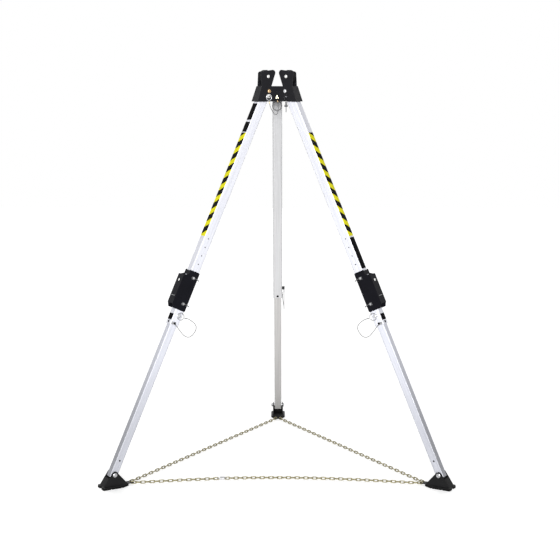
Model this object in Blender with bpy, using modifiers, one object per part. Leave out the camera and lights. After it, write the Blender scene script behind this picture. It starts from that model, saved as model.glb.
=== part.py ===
"""Confined space tripod with telescoping legs, swivel feet and a chain between the feet.

Metres, +Z up. The frame's origin is on the floor, at the middle of the footprint's box. The front of
the tripod, with the valley between the two winch legs, faces -Y.

Each leg is modelled in its own leg frame: origin on the pivot bolt, X out of the outer face, Y along
the pivot bolt, Z up along the tube. An empty then stands it at its splay and azimuth. Each foot is
modelled flat on the floor, under its own bolt. The head is modelled about the plumb line, with Z from
the pivot bolts.
"""

import math

import bmesh
import bpy
from mathutils import Matrix, Vector

# Stance: where the pivot bolts and the foot bolts are
FOOT_RADIUS = 0.940
FOOT_BOLT_HEIGHT = 0.068
PIVOT_RADIUS = 0.066
PIVOT_HEIGHT = 1.946
TUBE_OFFSET = 0.006
ARMS = {"left": 210.0, "right": 330.0, "back": 90.0}
# Side of each leg that its handles are on, along the leg frame's Y
HANDLE_SIDE = {"left": 1, "right": -1, "back": -1}

# How far a leg folds inward from its spread place, in degrees
FOLD_RANGE = 20.0

# Clearances
GAP = 0.0003
RUNNING_GAP = 0.0006

# Leg tubes
OUTER_SIZE = 0.050
OUTER_WALL = 0.003
OUTER_CORNER = 0.006
OUTER_LENGTH = 1.290
TUBE_TOP = 0.012
INNER_SIZE = 0.040
INNER_WALL = 0.003
INNER_CORNER = 0.005
INNER_OVERLAP = 0.150
INNER_TAIL = 0.016
STOW_TRAVEL = 0.774
HOLE_PITCH = 0.046
ADJUST_HOLES = 4
ADJUST_HOLE_RADIUS = 0.0032
FIRST_HOLE = 0.810

# Guide bush in the outer tube's mouth and slider on the inner tube's top
BUSH_LENGTH = 0.026
BUSH_BUTTON_RADIUS = 0.0065
BUSH_BUTTON_FROM_MOUTH = 0.0125
SLIDER_LENGTH = 0.022

# Leg lock pin, its pull ring and the tab that holds its lanyard
LOCK_FROM_MOUTH = 0.054
LOCK_RADIUS = 0.005
KNOB_RADIUS = 0.0095
KNOB_LENGTH = 0.014
RING_RADIUS = 0.018
RING_WIRE = 0.0019
RING_DROP = 0.011
LANYARD_RADIUS = 0.0013
TAB_WIDTH = 0.012
TAB_LENGTH = 0.014

# Winch bracket on the two front legs
BRACKET_PLATE = 0.003
BRACKET_TOP_FROM_MOUTH = 0.290
BRACKET_LENGTH = 0.208
BRACKET_INBOARD = 0.026
BRACKET_STANDOFF = 0.029
WEB_TOP = 0.034
WEB_LENGTH = 0.156
STRAP_HEIGHT = 0.022
FASTENER_TOP = 0.034
FASTENER_SPACING = 3 * HOLE_PITCH
FASTENER_RADIUS = 0.004
FASTENER_KNOB = 0.0075
FASTENER_LEVER = 0.027
WEB_HOLE_RADIUS = 0.0055
WEB_HOLE_DOWN = 0.032
WEB_SLOT_DOWN = 0.114

# Head plates
HEAD_HALF = 0.034
HEAD_PLATE = 0.005
SKIRT_TOP = 0.025
SKIRT_BOTTOM = 0.052
ARM_TOP = 0.102
ARM_BOTTOM = 0.131
END_PLATE = 0.004
EAR_TOP = 0.1065
EAR_INNER = 0.0295
EAR_INNER_BASE = 0.052
EAR_FRONT = (0.113, 0.107)
EAR_REAR = (0.093, 0.0966)
AXLE_REACH = 0.071
AXLE_HEIGHT = 0.073
AXLE_RADIUS = 0.0065
PIVOT_BOLT_RADIUS = 0.006
BOLT_HEAD_RADIUS = 0.0100
BOLT_HEAD_HEIGHT = 0.006
PIN_REACH = 0.071
PIN_DROP = 0.026
HEAD_PIN_SHANK = 0.013
HEAD_RING_RADIUS = 0.0150
HEAD_RING_DROP = 0.0050

# The right arm's lock pin, which hangs beside the arm
HANG_REACH = 0.078
HANG_TOP = 0.053
HANG_STANDOFF = 0.010

# Sheaves
SHEAVE_RADIUS = 0.033
SHEAVE_WIDTH = 0.020
SHEAVE_GROOVE = 0.005
SHEAVE_HUB = 0.012

# Anchor plate, eye and ring under the head
ANCHOR_PLATE = 0.008
ANCHOR_TOP = 0.026
ANCHOR_REACH = 0.039
CABLE_NOTCH = 0.010
EYE_RADIUS = 0.009
EYE_WIRE = 0.0032
EYE_NECK = 0.006
RING_ANCHOR_RADIUS = 0.0235
RING_ANCHOR_WIRE = 0.0026
LUG_WIDTH = 0.017
LUG_THICKNESS = 0.003
LUG_TOP = 0.020

# Feet
CHEEK_PLATE = 0.004
CHEEK_GAP = 0.0256
CHEEK_APEX = 0.017
BASE_PLATE = 0.005
BASE_HALF_WIDTH = 0.041
BASE_OUTBOARD = 0.066
BASE_INBOARD = 0.078
BASE_NOSE_HALF = 0.024
SOLE_THICKNESS = 0.008
TONGUE_REACH = 0.106
TONGUE_HALF = 0.018
CHAIN_HOLE_RADIUS = 0.0052
CHAIN_HOLE_APART = 0.018
CHAIN_HOLE_REACH = 0.096
FOOT_BOLT_RADIUS = 0.006
FOOT_BOLT_HEAD = 0.0115

# Chain
LINK_PITCH = 0.022
LINK_WIRE = 0.0022
LINK_HALF_WIDTH = 0.0056
LINK_BITE = 0.0004
LINK_SIDES = 3
LINK_THICKEN = 1.45
CHAIN_BOW = 0.090
CHAIN_SETTLE = 0.060
QUICK_LINK_AT = 0.31
QUICK_LINK_LENGTH = 0.048
QUICK_LINK_HALF_WIDTH = 0.0085
QUICK_LINK_WIRE = 0.0026
QUICK_LINK_HEIGHT = 0.0100

# Facets of round things
ROUND = 20
SMALL_ROUND = 12

# Sizes worked out from those above
PIVOT_TO_FOOT = math.hypot(FOOT_RADIUS - PIVOT_RADIUS, PIVOT_HEIGHT - FOOT_BOLT_HEIGHT)
LEG_LENGTH = math.sqrt(PIVOT_TO_FOOT**2 - TUBE_OFFSET**2)
SPLAY = math.atan2(FOOT_RADIUS - PIVOT_RADIUS, PIVOT_HEIGHT - FOOT_BOLT_HEIGHT) - math.atan2(
    TUBE_OFFSET, LEG_LENGTH
)
MOUTH = OUTER_LENGTH - TUBE_TOP
LOCK_DOWN = MOUTH - LOCK_FROM_MOUTH
BRACKET_TOP = MOUTH - BRACKET_TOP_FROM_MOUTH
INNER_TOP = MOUTH - INNER_OVERLAP
INNER_BOTTOM = LEG_LENGTH + INNER_TAIL
OUTER_HALF = OUTER_SIZE / 2
INNER_HALF = INNER_SIZE / 2
BORE_HALF = OUTER_HALF - OUTER_WALL
SHEET_INNER = HEAD_HALF - HEAD_PLATE
BASE_Z = SOLE_THICKNESS + GAP
BASE_TOP = BASE_Z + BASE_PLATE
CHEEK_OUTER = CHEEK_GAP + CHEEK_PLATE
EYE_CENTRE = ANCHOR_TOP + ANCHOR_PLATE + EYE_NECK + EYE_RADIUS
RING_TOP = EYE_CENTRE + EYE_RADIUS - EYE_WIRE - RING_ANCHOR_WIRE - GAP
FOOTPRINT_BACK = FOOT_RADIUS + BASE_OUTBOARD
FOOTPRINT_FRONT = FOOTPRINT_BACK / 2 + BASE_HALF_WIDTH * math.cos(math.radians(30))
CENTRE_Y = (FOOTPRINT_BACK - FOOTPRINT_FRONT) / 2

COLOURS = {
    "aluminium": ((0.86, 0.87, 0.90), 0.6, 0.35),
    "black_coat": ((0.03, 0.03, 0.035), 0.0, 0.45),
    "black_plastic": ((0.02, 0.02, 0.02), 0.0, 0.5),
    "white_plastic": ((0.80, 0.80, 0.80), 0.0, 0.5),
    "rubber": ((0.015, 0.015, 0.015), 0.0, 0.8),
    "steel": ((0.62, 0.62, 0.63), 1.0, 0.3),
    "yellow_zinc": ((0.62, 0.54, 0.28), 1.0, 0.35),
    "wire": ((0.35, 0.35, 0.36), 0.9, 0.4),
}

parts = None
made = {}


def clear_scene():
    """Empties the scene and makes the collection that the parts go in."""
    global parts
    for obj in list(bpy.data.objects):
        bpy.data.objects.remove(obj, do_unlink=True)
    parts = bpy.data.collections.new("confined_space_tripod")
    bpy.context.scene.collection.children.link(parts)


def material(name, finish):
    colour, metallic, roughness = COLOURS[finish]
    made_material = bpy.data.materials.new(name + "_" + finish)
    made_material.use_nodes = True
    shader = made_material.node_tree.nodes["Principled BSDF"]
    shader.inputs["Base Color"].default_value = (*colour, 1.0)
    shader.inputs["Metallic"].default_value = metallic
    shader.inputs["Roughness"].default_value = roughness
    return made_material


def add_object(name, data):
    obj = bpy.data.objects.new(name, data)
    parts.objects.link(obj)
    return obj


def to_mesh(obj):
    """The object with its modifiers applied, its caps welded and its curve made a mesh."""
    evaluated = obj.evaluated_get(bpy.context.evaluated_depsgraph_get())
    mesh = bpy.data.meshes.new_from_object(evaluated)
    shape = bmesh.new()
    shape.from_mesh(mesh)
    bmesh.ops.remove_doubles(shape, verts=shape.verts, dist=1e-6)
    shape.to_mesh(mesh)
    shape.free()
    name = obj.name
    bpy.data.objects.remove(obj, do_unlink=True)
    return add_object(name, mesh)


def from_bmesh(name, shape):
    mesh = bpy.data.meshes.new(name)
    shape.to_mesh(mesh)
    shape.free()
    return add_object(name, mesh)


def move(obj, matrix):
    """Moves the object's points, so that its own place stays free for the joint."""
    obj.data.transform(matrix)
    return obj


def combine(target, tool, operation):
    """One exact Boolean of the tool on the target, applied. The tool is used up."""
    modifier = target.modifiers.new(operation.lower(), "BOOLEAN")
    modifier.operation = operation
    modifier.solver = "EXACT"
    modifier.object = tool
    evaluated = target.evaluated_get(bpy.context.evaluated_depsgraph_get())
    mesh = bpy.data.meshes.new_from_object(evaluated)
    target.modifiers.clear()
    target.data = mesh
    bpy.data.objects.remove(tool, do_unlink=True)
    return target


def cut(target, *tools):
    """Cuts all the tools out at once. They stand clear of each other."""
    shape = bmesh.new()
    for tool in tools:
        shape.from_mesh(tool.data)
        bpy.data.objects.remove(tool, do_unlink=True)
    return combine(target, from_bmesh("cutters", shape), "DIFFERENCE")


def join(target, *tools):
    for tool in tools:
        combine(target, tool, "UNION")
    return target


def prism(name, outlines, thickness):
    """A flat outline, with any holes, made solid: in XY, with its thickness centred along Z."""
    curve = bpy.data.curves.new(name, "CURVE")
    curve.dimensions = "2D"
    curve.fill_mode = "BOTH"
    curve.extrude = thickness / 2
    for points in outlines:
        spline = curve.splines.new("POLY")
        spline.points.add(len(points) - 1)
        for point, (x, y) in zip(spline.points, points):
            point.co = (x, y, 0, 1)
        spline.use_cyclic_u = True
    return to_mesh(add_object(name, curve))


def upright(name, points, thickness, y=0.0):
    """A plate whose outline is given as (x, z), with its thickness along Y, centred at y."""
    plate = prism(name, [points], thickness)
    return move(plate, Matrix.Translation((0, y, 0)) @ Matrix.Rotation(math.pi / 2, 4, "X"))


def box(name, low, high):
    shape = bmesh.new()
    bmesh.ops.create_cube(shape, size=1)
    low, high = Vector(low), Vector(high)
    size = high - low
    middle = (high + low) / 2
    bmesh.ops.transform(
        shape, matrix=Matrix.Translation(middle) @ Matrix.Diagonal((*size, 1)), verts=shape.verts
    )
    return from_bmesh(name, shape)


def rod(name, radius, start, end, sides=SMALL_ROUND, end_radius=None):
    """A cylinder, or a cone, between two points."""
    start, end = Vector(start), Vector(end)
    along = end - start
    shape = bmesh.new()
    bmesh.ops.create_cone(
        shape,
        cap_ends=True,
        segments=sides,
        radius1=radius,
        radius2=radius if end_radius is None else end_radius,
        depth=along.length,
    )
    turn = Vector((0, 0, 1)).rotation_difference(along).to_matrix().to_4x4()
    bmesh.ops.transform(
        shape, matrix=Matrix.Translation((start + end) / 2) @ turn, verts=shape.verts
    )
    return from_bmesh(name, shape)


def turned(name, profile, sides=ROUND):
    """A profile of (radius, height) turned about Z. A profile off the axis is closed into a ring."""
    shape = bmesh.new()
    corners = [shape.verts.new((radius, 0, height)) for radius, height in profile]
    closed = min(radius for radius, _ in profile) > 0
    for first, second in zip(corners, corners[1:] + corners[:1] if closed else corners[1:]):
        shape.edges.new((first, second))
    obj = from_bmesh(name, shape)
    screw = obj.modifiers.new("turn", "SCREW")
    screw.steps = screw.render_steps = sides
    screw.use_merge_vertices = True
    screw.merge_threshold = 0.00001
    obj = to_mesh(obj)
    outward = bmesh.new()
    outward.from_mesh(obj.data)
    bmesh.ops.recalc_face_normals(outward, faces=outward.faces)
    outward.to_mesh(obj.data)
    outward.free()
    return obj


def torus(name, radius, wire, sides=24, wire_sides=8):
    """A ring about Z."""
    profile = [
        (
            radius + wire * math.cos(math.tau * k / wire_sides),
            wire * math.sin(math.tau * k / wire_sides),
        )
        for k in range(wire_sides)
    ]
    return turned(name, profile, sides)


def smooth_route(points, spacing):
    """Evenly spaced points on a smooth curve through the route's own points."""
    fine = []
    last = len(points) - 1
    for index in range(last):
        before = Vector(points[max(index - 1, 0)])
        start = Vector(points[index])
        end = Vector(points[index + 1])
        after = Vector(points[min(index + 2, last)])
        for step in range(12):
            u = step / 12
            fine.append(
                0.5
                * (
                    2 * start
                    + (end - before) * u
                    + (2 * before - 5 * start + 4 * end - after) * u**2
                    + (3 * start - before - 3 * end + after) * u**3
                )
            )
    fine.append(Vector(points[-1]))
    reach = [0.0]
    for first, second in zip(fine, fine[1:]):
        reach.append(reach[-1] + (second - first).length)
    count = max(4, round(reach[-1] / spacing))
    even = []
    index = 0
    for step in range(count + 1):
        wanted = reach[-1] * step / count
        while index < len(fine) - 2 and reach[index + 1] < wanted:
            index += 1
        share = (wanted - reach[index]) / (reach[index + 1] - reach[index])
        even.append(fine[index].lerp(fine[index + 1], share))
    return even, reach[-1]


def wire(name, points, radius, spacing=0.013):
    """A round wire along the route, with its ends capped."""
    route, length = smooth_route(points, spacing)
    curve = bpy.data.curves.new(name, "CURVE")
    curve.dimensions = "3D"
    curve.bevel_depth = radius
    curve.bevel_resolution = 2
    curve.use_fill_caps = True
    spline = curve.splines.new("POLY")
    spline.points.add(len(route) - 1)
    for point, place in zip(spline.points, route):
        point.co = (*place, 1)
    print(f"{name}: {length:.3f} m long")
    return to_mesh(add_object(name, curve))


def arc(centre, radius, start, end, steps):
    """Points along an arc, with angles in degrees."""
    angles = [math.radians(start + (end - start) * k / steps) for k in range(steps + 1)]
    return [
        (centre[0] + radius * math.cos(angle), centre[1] + radius * math.sin(angle))
        for angle in angles
    ]


def rounded_box(half_x, half_y, radius, steps=3):
    """The outline of a rectangle with rounded corners."""
    points = []
    for corner, (x, y) in enumerate(((1, 1), (-1, 1), (-1, -1), (1, -1))):
        centre = (x * (half_x - radius), y * (half_y - radius))
        points += arc(centre, radius, 90 * corner, 90 * (corner + 1), steps)
    return points


def finish(obj, name, coating, parent):
    """Names a piece, gives it its own material and hangs it on its frame."""
    obj.name = name
    obj.data.name = name
    obj.data.materials.clear()
    obj.data.materials.append(material(name, coating))
    obj.data.shade_smooth()
    obj.data.set_sharp_from_angle(angle=math.radians(35))
    obj.parent = parent
    made[name] = obj
    return obj


def frame_empty(name, matrix, parent=None):
    empty = bpy.data.objects.new(name, None)
    parts.objects.link(empty)
    empty.parent = parent
    empty.matrix_local = matrix
    return empty


# Leg tubes

def cross_rod(down, radius, reach, x=TUBE_OFFSET, sides=8):
    """A cutter along the pivot bolt's direction, this far down the leg."""
    return rod("cutter", radius, (x, -reach, -down), (x, reach, -down), sides)


def pin_sweep():
    """The bent slot that the head lock pin sweeps in the tube as the leg folds."""
    clearance = LOCK_RADIUS + RUNNING_GAP
    x, z = head_pin_in_leg()
    reach = math.hypot(x, z)
    spread = math.degrees(math.atan2(z, x))
    folded = spread + FOLD_RANGE
    ends = [
        (reach * math.cos(math.radians(angle)), reach * math.sin(math.radians(angle)))
        for angle in (spread, folded)
    ]
    outline = [
        *arc((0, 0), reach + clearance, spread, folded, 3),
        *arc(ends[1], clearance, folded, folded + 180, 4)[1:-1],
        *arc((0, 0), reach - clearance, folded, spread, 2),
        *arc(ends[0], clearance, spread + 180, spread + 360, 4)[1:-1],
    ]
    return upright("cutter", outline, 2 * OUTER_SIZE)


def head_pin_in_leg():
    """Where the head lock pin lies in the leg frame, as (x, z)."""
    out, up = PIN_REACH - PIVOT_RADIUS, -PIN_DROP
    return (
        out * math.cos(SPLAY) + up * math.sin(SPLAY),
        -out * math.sin(SPLAY) + up * math.cos(SPLAY),
    )


def outer_tube(name):
    outside = rounded_box(OUTER_HALF, OUTER_HALF, OUTER_CORNER, 4)
    inside = rounded_box(BORE_HALF, BORE_HALF, OUTER_CORNER - OUTER_WALL, 2)
    tube = prism(name, [outside, inside], OUTER_LENGTH)
    move(tube, Matrix.Translation((TUBE_OFFSET, 0, TUBE_TOP - OUTER_LENGTH / 2)))
    reach = OUTER_SIZE
    holes = [cross_rod(0, PIVOT_BOLT_RADIUS + GAP, reach, 0, SMALL_ROUND), pin_sweep()]
    for index in range(ADJUST_HOLES):
        holes.append(cross_rod(FIRST_HOLE + index * HOLE_PITCH, ADJUST_HOLE_RADIUS, reach))
    holes.append(cross_rod(LOCK_DOWN, LOCK_RADIUS + GAP, reach, sides=SMALL_ROUND))
    button_down = MOUTH - BUSH_BUTTON_FROM_MOUTH
    holes.append(cross_rod(button_down, BUSH_BUTTON_RADIUS + GAP, reach, sides=SMALL_ROUND))
    return cut(tube, *holes)


def bracket_holes(side_reach):
    """Cutters for the two fasteners of a winch bracket."""
    first = BRACKET_TOP + FASTENER_TOP
    return [
        cross_rod(down, FASTENER_RADIUS + GAP, side_reach)
        for down in (first, first + FASTENER_SPACING)
    ]


def inner_tube(name):
    length = INNER_BOTTOM - INNER_TOP
    outside = rounded_box(INNER_HALF, INNER_HALF, INNER_CORNER)
    bore = INNER_HALF - INNER_WALL
    inside = rounded_box(bore, bore, INNER_CORNER - INNER_WALL, 2)
    tube = prism(name, [outside, inside], length)
    move(tube, Matrix.Translation((TUBE_OFFSET, 0, -(INNER_TOP + INNER_BOTTOM) / 2)))
    reach = INNER_SIZE
    return cut(
        tube,
        cross_rod(LOCK_DOWN, LOCK_RADIUS + GAP, reach),
        cross_rod(LOCK_DOWN + STOW_TRAVEL, LOCK_RADIUS - GAP, reach),
        cross_rod(LEG_LENGTH, FOOT_BOLT_RADIUS + GAP, reach, sides=SMALL_ROUND),
    )


def sleeve(name, outer_half, inner_half, corner, top, length):
    """A square sleeve on the tubes' axis, with its top this far down the leg."""
    outside = rounded_box(outer_half, outer_half, corner, 2)
    inside = rounded_box(inner_half, inner_half, corner, 2)
    ring = prism(name, [outside, inside], length)
    return move(ring, Matrix.Translation((TUBE_OFFSET, 0, -(top + length / 2))))


def guide_bush(name):
    """Lines the mouth of the outer tube, and is held by two buttons in the tube's holes."""
    top = MOUTH - BUSH_LENGTH
    bush = sleeve(
        name, BORE_HALF - GAP, INNER_HALF + GAP, INNER_CORNER - INNER_WALL, top, BUSH_LENGTH
    )
    down = MOUTH - BUSH_BUTTON_FROM_MOUTH
    for side in (-1, 1):
        start = (TUBE_OFFSET, side * (BORE_HALF - 3 * GAP), -down)
        end = (TUBE_OFFSET, side * (OUTER_HALF + GAP), -down)
        join(bush, rod("button", BUSH_BUTTON_RADIUS, start, end))
    return bush


def slider(name):
    """A plug that caps the inner tube's top, with a head that fills the outer tube's bore."""
    plug_half = INNER_HALF - INNER_WALL - GAP
    plug = prism(name, [rounded_box(plug_half, plug_half, INNER_CORNER - INNER_WALL, 2)], SLIDER_LENGTH)
    move(plug, Matrix.Translation((TUBE_OFFSET, 0, -(INNER_TOP + SLIDER_LENGTH / 2 - GAP))))
    head_half = BORE_HALF - GAP
    head = prism("head", [rounded_box(head_half, head_half, INNER_CORNER, 2)], SLIDER_LENGTH / 2)
    move(head, Matrix.Translation((TUBE_OFFSET, 0, -(INNER_TOP - GAP - SLIDER_LENGTH / 4))))
    return join(plug, head)


def lock_pin(name, side):
    """A short lock pin with a knob and a pull ring. Its shank stops short of the inner tube."""
    down = -LOCK_DOWN
    face = OUTER_HALF + GAP
    tip = INNER_HALF + GAP
    pin = rod(name, LOCK_RADIUS, (TUBE_OFFSET, side * tip, down), (TUBE_OFFSET, side * (face + 0.003), down))
    knob_start = (TUBE_OFFSET, side * face, down)
    knob_end = (TUBE_OFFSET, side * (face + KNOB_LENGTH), down)
    join(pin, rod("knob", KNOB_RADIUS, knob_start, knob_end, sides=16, end_radius=KNOB_RADIUS * 0.85))
    ring = torus("ring", RING_RADIUS, RING_WIRE, 18, 5)
    place = Vector((TUBE_OFFSET - RING_DROP, side * (face + KNOB_LENGTH * 0.75), down))
    move(ring, Matrix.Translation(place) @ Matrix.Rotation(math.pi / 2, 4, "X"))
    return join(pin, ring)


def lanyard_tab(name, side):
    """A small riveted clip beside the mouth that holds the lock pin's lanyard."""
    face = OUTER_HALF + GAP
    centre_x = TUBE_OFFSET + OUTER_HALF - TAB_WIDTH
    centre_z = -(MOUTH - TAB_LENGTH * 0.7)
    low_y, high_y = sorted((side * face, side * (face + 0.0016)))
    tab = box(
        name,
        (centre_x - TAB_WIDTH / 2, low_y, centre_z - TAB_LENGTH / 2),
        (centre_x + TAB_WIDTH / 2, high_y, centre_z + TAB_LENGTH / 2),
    )
    rivet = rod(
        "rivet",
        0.0032,
        (centre_x, side * (face + 0.0005), centre_z + TAB_LENGTH / 5),
        (centre_x, side * (face + 0.0035), centre_z + TAB_LENGTH / 5),
        end_radius=0.002,
    )
    return join(tab, rivet)


def lanyard_route(side):
    """From the pull ring, out in a loop and back along the mouth to the tab."""
    plane = side * (OUTER_HALF + GAP + KNOB_LENGTH * 0.75)
    near = side * (OUTER_HALF + LANYARD_RADIUS + 2 * GAP)
    ring_edge = -(RING_DROP + RING_RADIUS + RING_WIRE + LANYARD_RADIUS + GAP)
    lock = -LOCK_DOWN
    mouth = -MOUTH
    tab_edge = OUTER_HALF - 1.5 * TAB_WIDTH - GAP
    points = [
        (ring_edge, plane, lock),
        (ring_edge - 0.022, plane, lock + 0.003),
        (ring_edge - 0.050, plane, lock - 0.001),
        (ring_edge - 0.075, plane, lock - 0.012),
        (ring_edge - 0.085, plane, lock - 0.032),
        (ring_edge - 0.079, plane, mouth - 0.008),
        (ring_edge - 0.063, plane, mouth - 0.026),
        (ring_edge - 0.038, plane, mouth - 0.028),
        (ring_edge - 0.012, plane - side * 0.004, mouth - 0.016),
        (ring_edge + 0.012, near + side * 0.001, mouth - 0.002),
        (0.25 * ring_edge, near, mouth + 0.005),
        (tab_edge, near, mouth + 0.0075),
    ]
    return [(TUBE_OFFSET + x, y, z) for x, y, z in points]


# Winch bracket

def bracket(name):
    """A channel whose cheeks clasp the tube and whose web stands off it, joined by two straps."""
    face = OUTER_HALF + GAP
    middle = face + BRACKET_PLATE / 2
    inboard = TUBE_OFFSET - BRACKET_INBOARD
    strap_x = TUBE_OFFSET + face
    web_x = TUBE_OFFSET + OUTER_HALF + BRACKET_STANDOFF
    top = -BRACKET_TOP
    bottom = top - BRACKET_LENGTH
    web_top = top - WEB_TOP
    web_bottom = web_top - WEB_LENGTH
    corner = 0.006
    cheek = [
        *arc((inboard + corner, bottom + corner), corner, 270, 180, 4),
        *arc((inboard + corner, top - corner), corner, 180, 90, 4),
        (strap_x + BRACKET_PLATE * 1.4, top),
        (strap_x + BRACKET_PLATE * 1.4, web_top + 0.012),
        (web_x - 0.010, web_top + 0.003),
        (web_x, web_top - 0.002),
        (web_x, web_bottom),
        (web_x - 0.010, bottom),
    ]
    body = upright(name, cheek, BRACKET_PLATE, middle)
    join(body, upright("cheek", cheek, BRACKET_PLATE, -middle))
    outside = face + BRACKET_PLATE
    web_corner = 0.005
    web = prism(
        "web", [rounded_box(WEB_LENGTH / 2, outside + 0.0005, web_corner, 3)], BRACKET_PLATE
    )
    move(
        web,
        Matrix.Translation((web_x + BRACKET_PLATE / 2 - 0.0006, 0, (web_top + web_bottom) / 2))
        @ Matrix.Rotation(math.pi / 2, 4, "Y"),
    )
    join(body, web)
    for low in (top - STRAP_HEIGHT - 0.003, bottom + 0.003):
        strap = box(
            "strap",
            (strap_x, -middle, low),
            (strap_x + BRACKET_PLATE, middle, low + STRAP_HEIGHT),
        )
        join(body, strap)
    cut(body, *bracket_holes(2 * OUTER_SIZE))
    hole_z = web_top - WEB_HOLE_DOWN
    slot_z = web_top - WEB_SLOT_DOWN
    cut(
        body,
        rod("cutter", WEB_HOLE_RADIUS, (web_x - 0.01, 0, hole_z), (web_x + 0.01, 0, hole_z)),
        box("cutter", (web_x - 0.01, -0.018, slot_z - 0.002), (web_x + 0.01, 0.018, slot_z + 0.002)),
    )
    return body


def bracket_fastener(name, side, down):
    """A hand screw with a round knob and a bent lever. Its shank ends flush with the tube's bore."""
    outside = OUTER_HALF + GAP + BRACKET_PLATE + GAP
    tip = BORE_HALF - GAP
    screw = rod(
        name,
        FASTENER_RADIUS - GAP,
        (TUBE_OFFSET, side * tip, -down),
        (TUBE_OFFSET, side * (outside + 0.004), -down),
    )
    knob_out = side * (outside + 0.010)
    join(
        screw,
        rod("knob", FASTENER_KNOB, (TUBE_OFFSET, side * outside, -down), (TUBE_OFFSET, knob_out, -down)),
    )
    lever_y = side * (outside + 0.006)
    lever = rod(
        "lever",
        0.0020,
        (TUBE_OFFSET, lever_y, -down),
        (TUBE_OFFSET - FASTENER_LEVER, lever_y, -down - 0.004),
        sides=8,
    )
    return join(screw, lever)


# Feet, in a frame under the foot bolt with X outboard and Z up from the floor

def foot_outline(inset=0.0):
    """The base seen from above: square outboard with a notch, and narrowing to the nose inboard."""
    back = BASE_OUTBOARD - inset
    half = BASE_HALF_WIDTH - inset
    nose = -BASE_INBOARD + inset
    nose_half = BASE_NOSE_HALF - inset
    corner = 0.006
    side = [
        (back - 0.008, 0.008),
        (back, 0.012),
        *arc((back - corner, half - corner), corner, 0, 90, 3),
        (-BASE_INBOARD * 0.45, half),
        *arc((nose + 2 * corner, nose_half - 2 * corner), 2 * corner, 110, 180, 3),
    ]
    return side + [(x, -y) for x, y in reversed(side)]


def sole(name):
    plate = prism(name, [foot_outline()], SOLE_THICKNESS)
    move(plate, Matrix.Translation((0, 0, SOLE_THICKNESS / 2)))
    groove_depth = SOLE_THICKNESS * 0.3
    for index in range(2):
        x = -0.035 + 0.056 * index
        cut(plate, box("cutter", (x, -0.1, -0.001), (x + 0.006, 0.1, groove_depth)))
    return plate


def cheek_outline():
    """A cheek seen from the side: round over the bolt, then straight down to both ends of the base."""
    centre = (0.0, FOOT_BOLT_HEIGHT)
    low = BASE_Z + BASE_PLATE * 0.5
    outboard = (BASE_OUTBOARD - 0.006, low)
    inboard = (-BASE_INBOARD + 0.006, low)

    def tangent(corner, sign):
        across = math.hypot(corner[0] - centre[0], corner[1] - centre[1])
        toward = math.degrees(math.atan2(corner[1] - centre[1], corner[0] - centre[0]))
        return toward + sign * math.degrees(math.acos(CHEEK_APEX / across))

    start = tangent(outboard, 1)
    end = tangent(inboard, -1) % 360
    return [outboard, *arc(centre, CHEEK_APEX, start, end, 8), inboard]


def shoe(name):
    """Base plate with a tongue for the chains, two cheeks for the bolt and a sloping outboard web."""
    base = prism(name, [foot_outline(0.001)], BASE_PLATE)
    move(base, Matrix.Translation((0, 0, BASE_Z + BASE_PLATE / 2)))
    tongue = box(
        "tongue",
        (-TONGUE_REACH, -TONGUE_HALF, BASE_Z + 0.0006),
        (-BASE_INBOARD + 0.012, TONGUE_HALF, BASE_TOP - 0.0006),
    )
    join(base, tongue)
    middle = (CHEEK_GAP + CHEEK_OUTER) / 2
    for side in (-1, 1):
        join(base, upright("cheek", cheek_outline(), CHEEK_PLATE, side * middle))
    join(base, foot_web())
    bolt = FOOT_BOLT_RADIUS + GAP
    cut(base, rod("cutter", bolt, (0, -0.06, FOOT_BOLT_HEIGHT), (0, 0.06, FOOT_BOLT_HEIGHT)))
    for side in (-1, 1):
        y = side * CHAIN_HOLE_APART / 2
        cut(base, rod("cutter", CHAIN_HOLE_RADIUS, (-CHAIN_HOLE_REACH, y, 0), (-CHAIN_HOLE_REACH, y, 0.03)))
    return base


def foot_web():
    """The web between the cheeks, from the outboard edge of the base up to the tube's end."""
    clear = math.hypot(INNER_HALF, INNER_TAIL) + 0.009
    top_z = FOOT_BOLT_HEIGHT - 0.013
    top_x = math.sqrt(clear**2 - 0.013**2)
    foot_x = BASE_OUTBOARD - 0.004
    low = BASE_Z + 0.001
    outline = [
        (foot_x, low),
        (top_x, top_z),
        (top_x - CHEEK_PLATE, top_z - 0.003),
        (foot_x - 0.007, low),
    ]
    return upright("web", outline, 2 * (CHEEK_GAP + 0.001))


def foot_bolt(name, side):
    """Bolt with a domed head, spacers beside the tube and a nut, in the foot's frame."""
    z = FOOT_BOLT_HEIGHT

    def along(radius, start, end, sides=SMALL_ROUND, end_radius=None):
        return rod("bolt", radius, (0, side * start, z), (0, side * end, z), sides, end_radius)

    head_at = CHEEK_OUTER + GAP
    bolt = along(FOOT_BOLT_RADIUS, -head_at - 0.012, head_at + 0.003)
    bolt.name = name
    join(bolt, along(FOOT_BOLT_HEAD, head_at, head_at + 0.006, 16, FOOT_BOLT_HEAD * 0.7))
    join(bolt, along(FOOT_BOLT_HEAD * 0.95, -head_at, -head_at - 0.009, 6))
    spacer = (INNER_HALF + GAP, CHEEK_GAP - GAP)
    for sign in (-1, 1):
        join(bolt, along(0.010, sign * spacer[0], sign * spacer[1]))
    return bolt


# Head, about the plumb line with Z from the pivot bolts

def ear_outline(outer, base):
    """The round-shouldered ear, from its inner base round to its outer edge's top and base reach."""
    shoulder = 0.015
    crown = 0.010
    inner = (EAR_INNER + shoulder, EAR_TOP - shoulder)
    far = (outer - crown, EAR_TOP - 0.008 - crown)
    return [
        (EAR_INNER_BASE, SKIRT_TOP),
        *arc(inner, shoulder, 205, 90, 5),
        *arc(far, crown, 80, 5, 4),
        (base, SKIRT_TOP),
    ]


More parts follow.
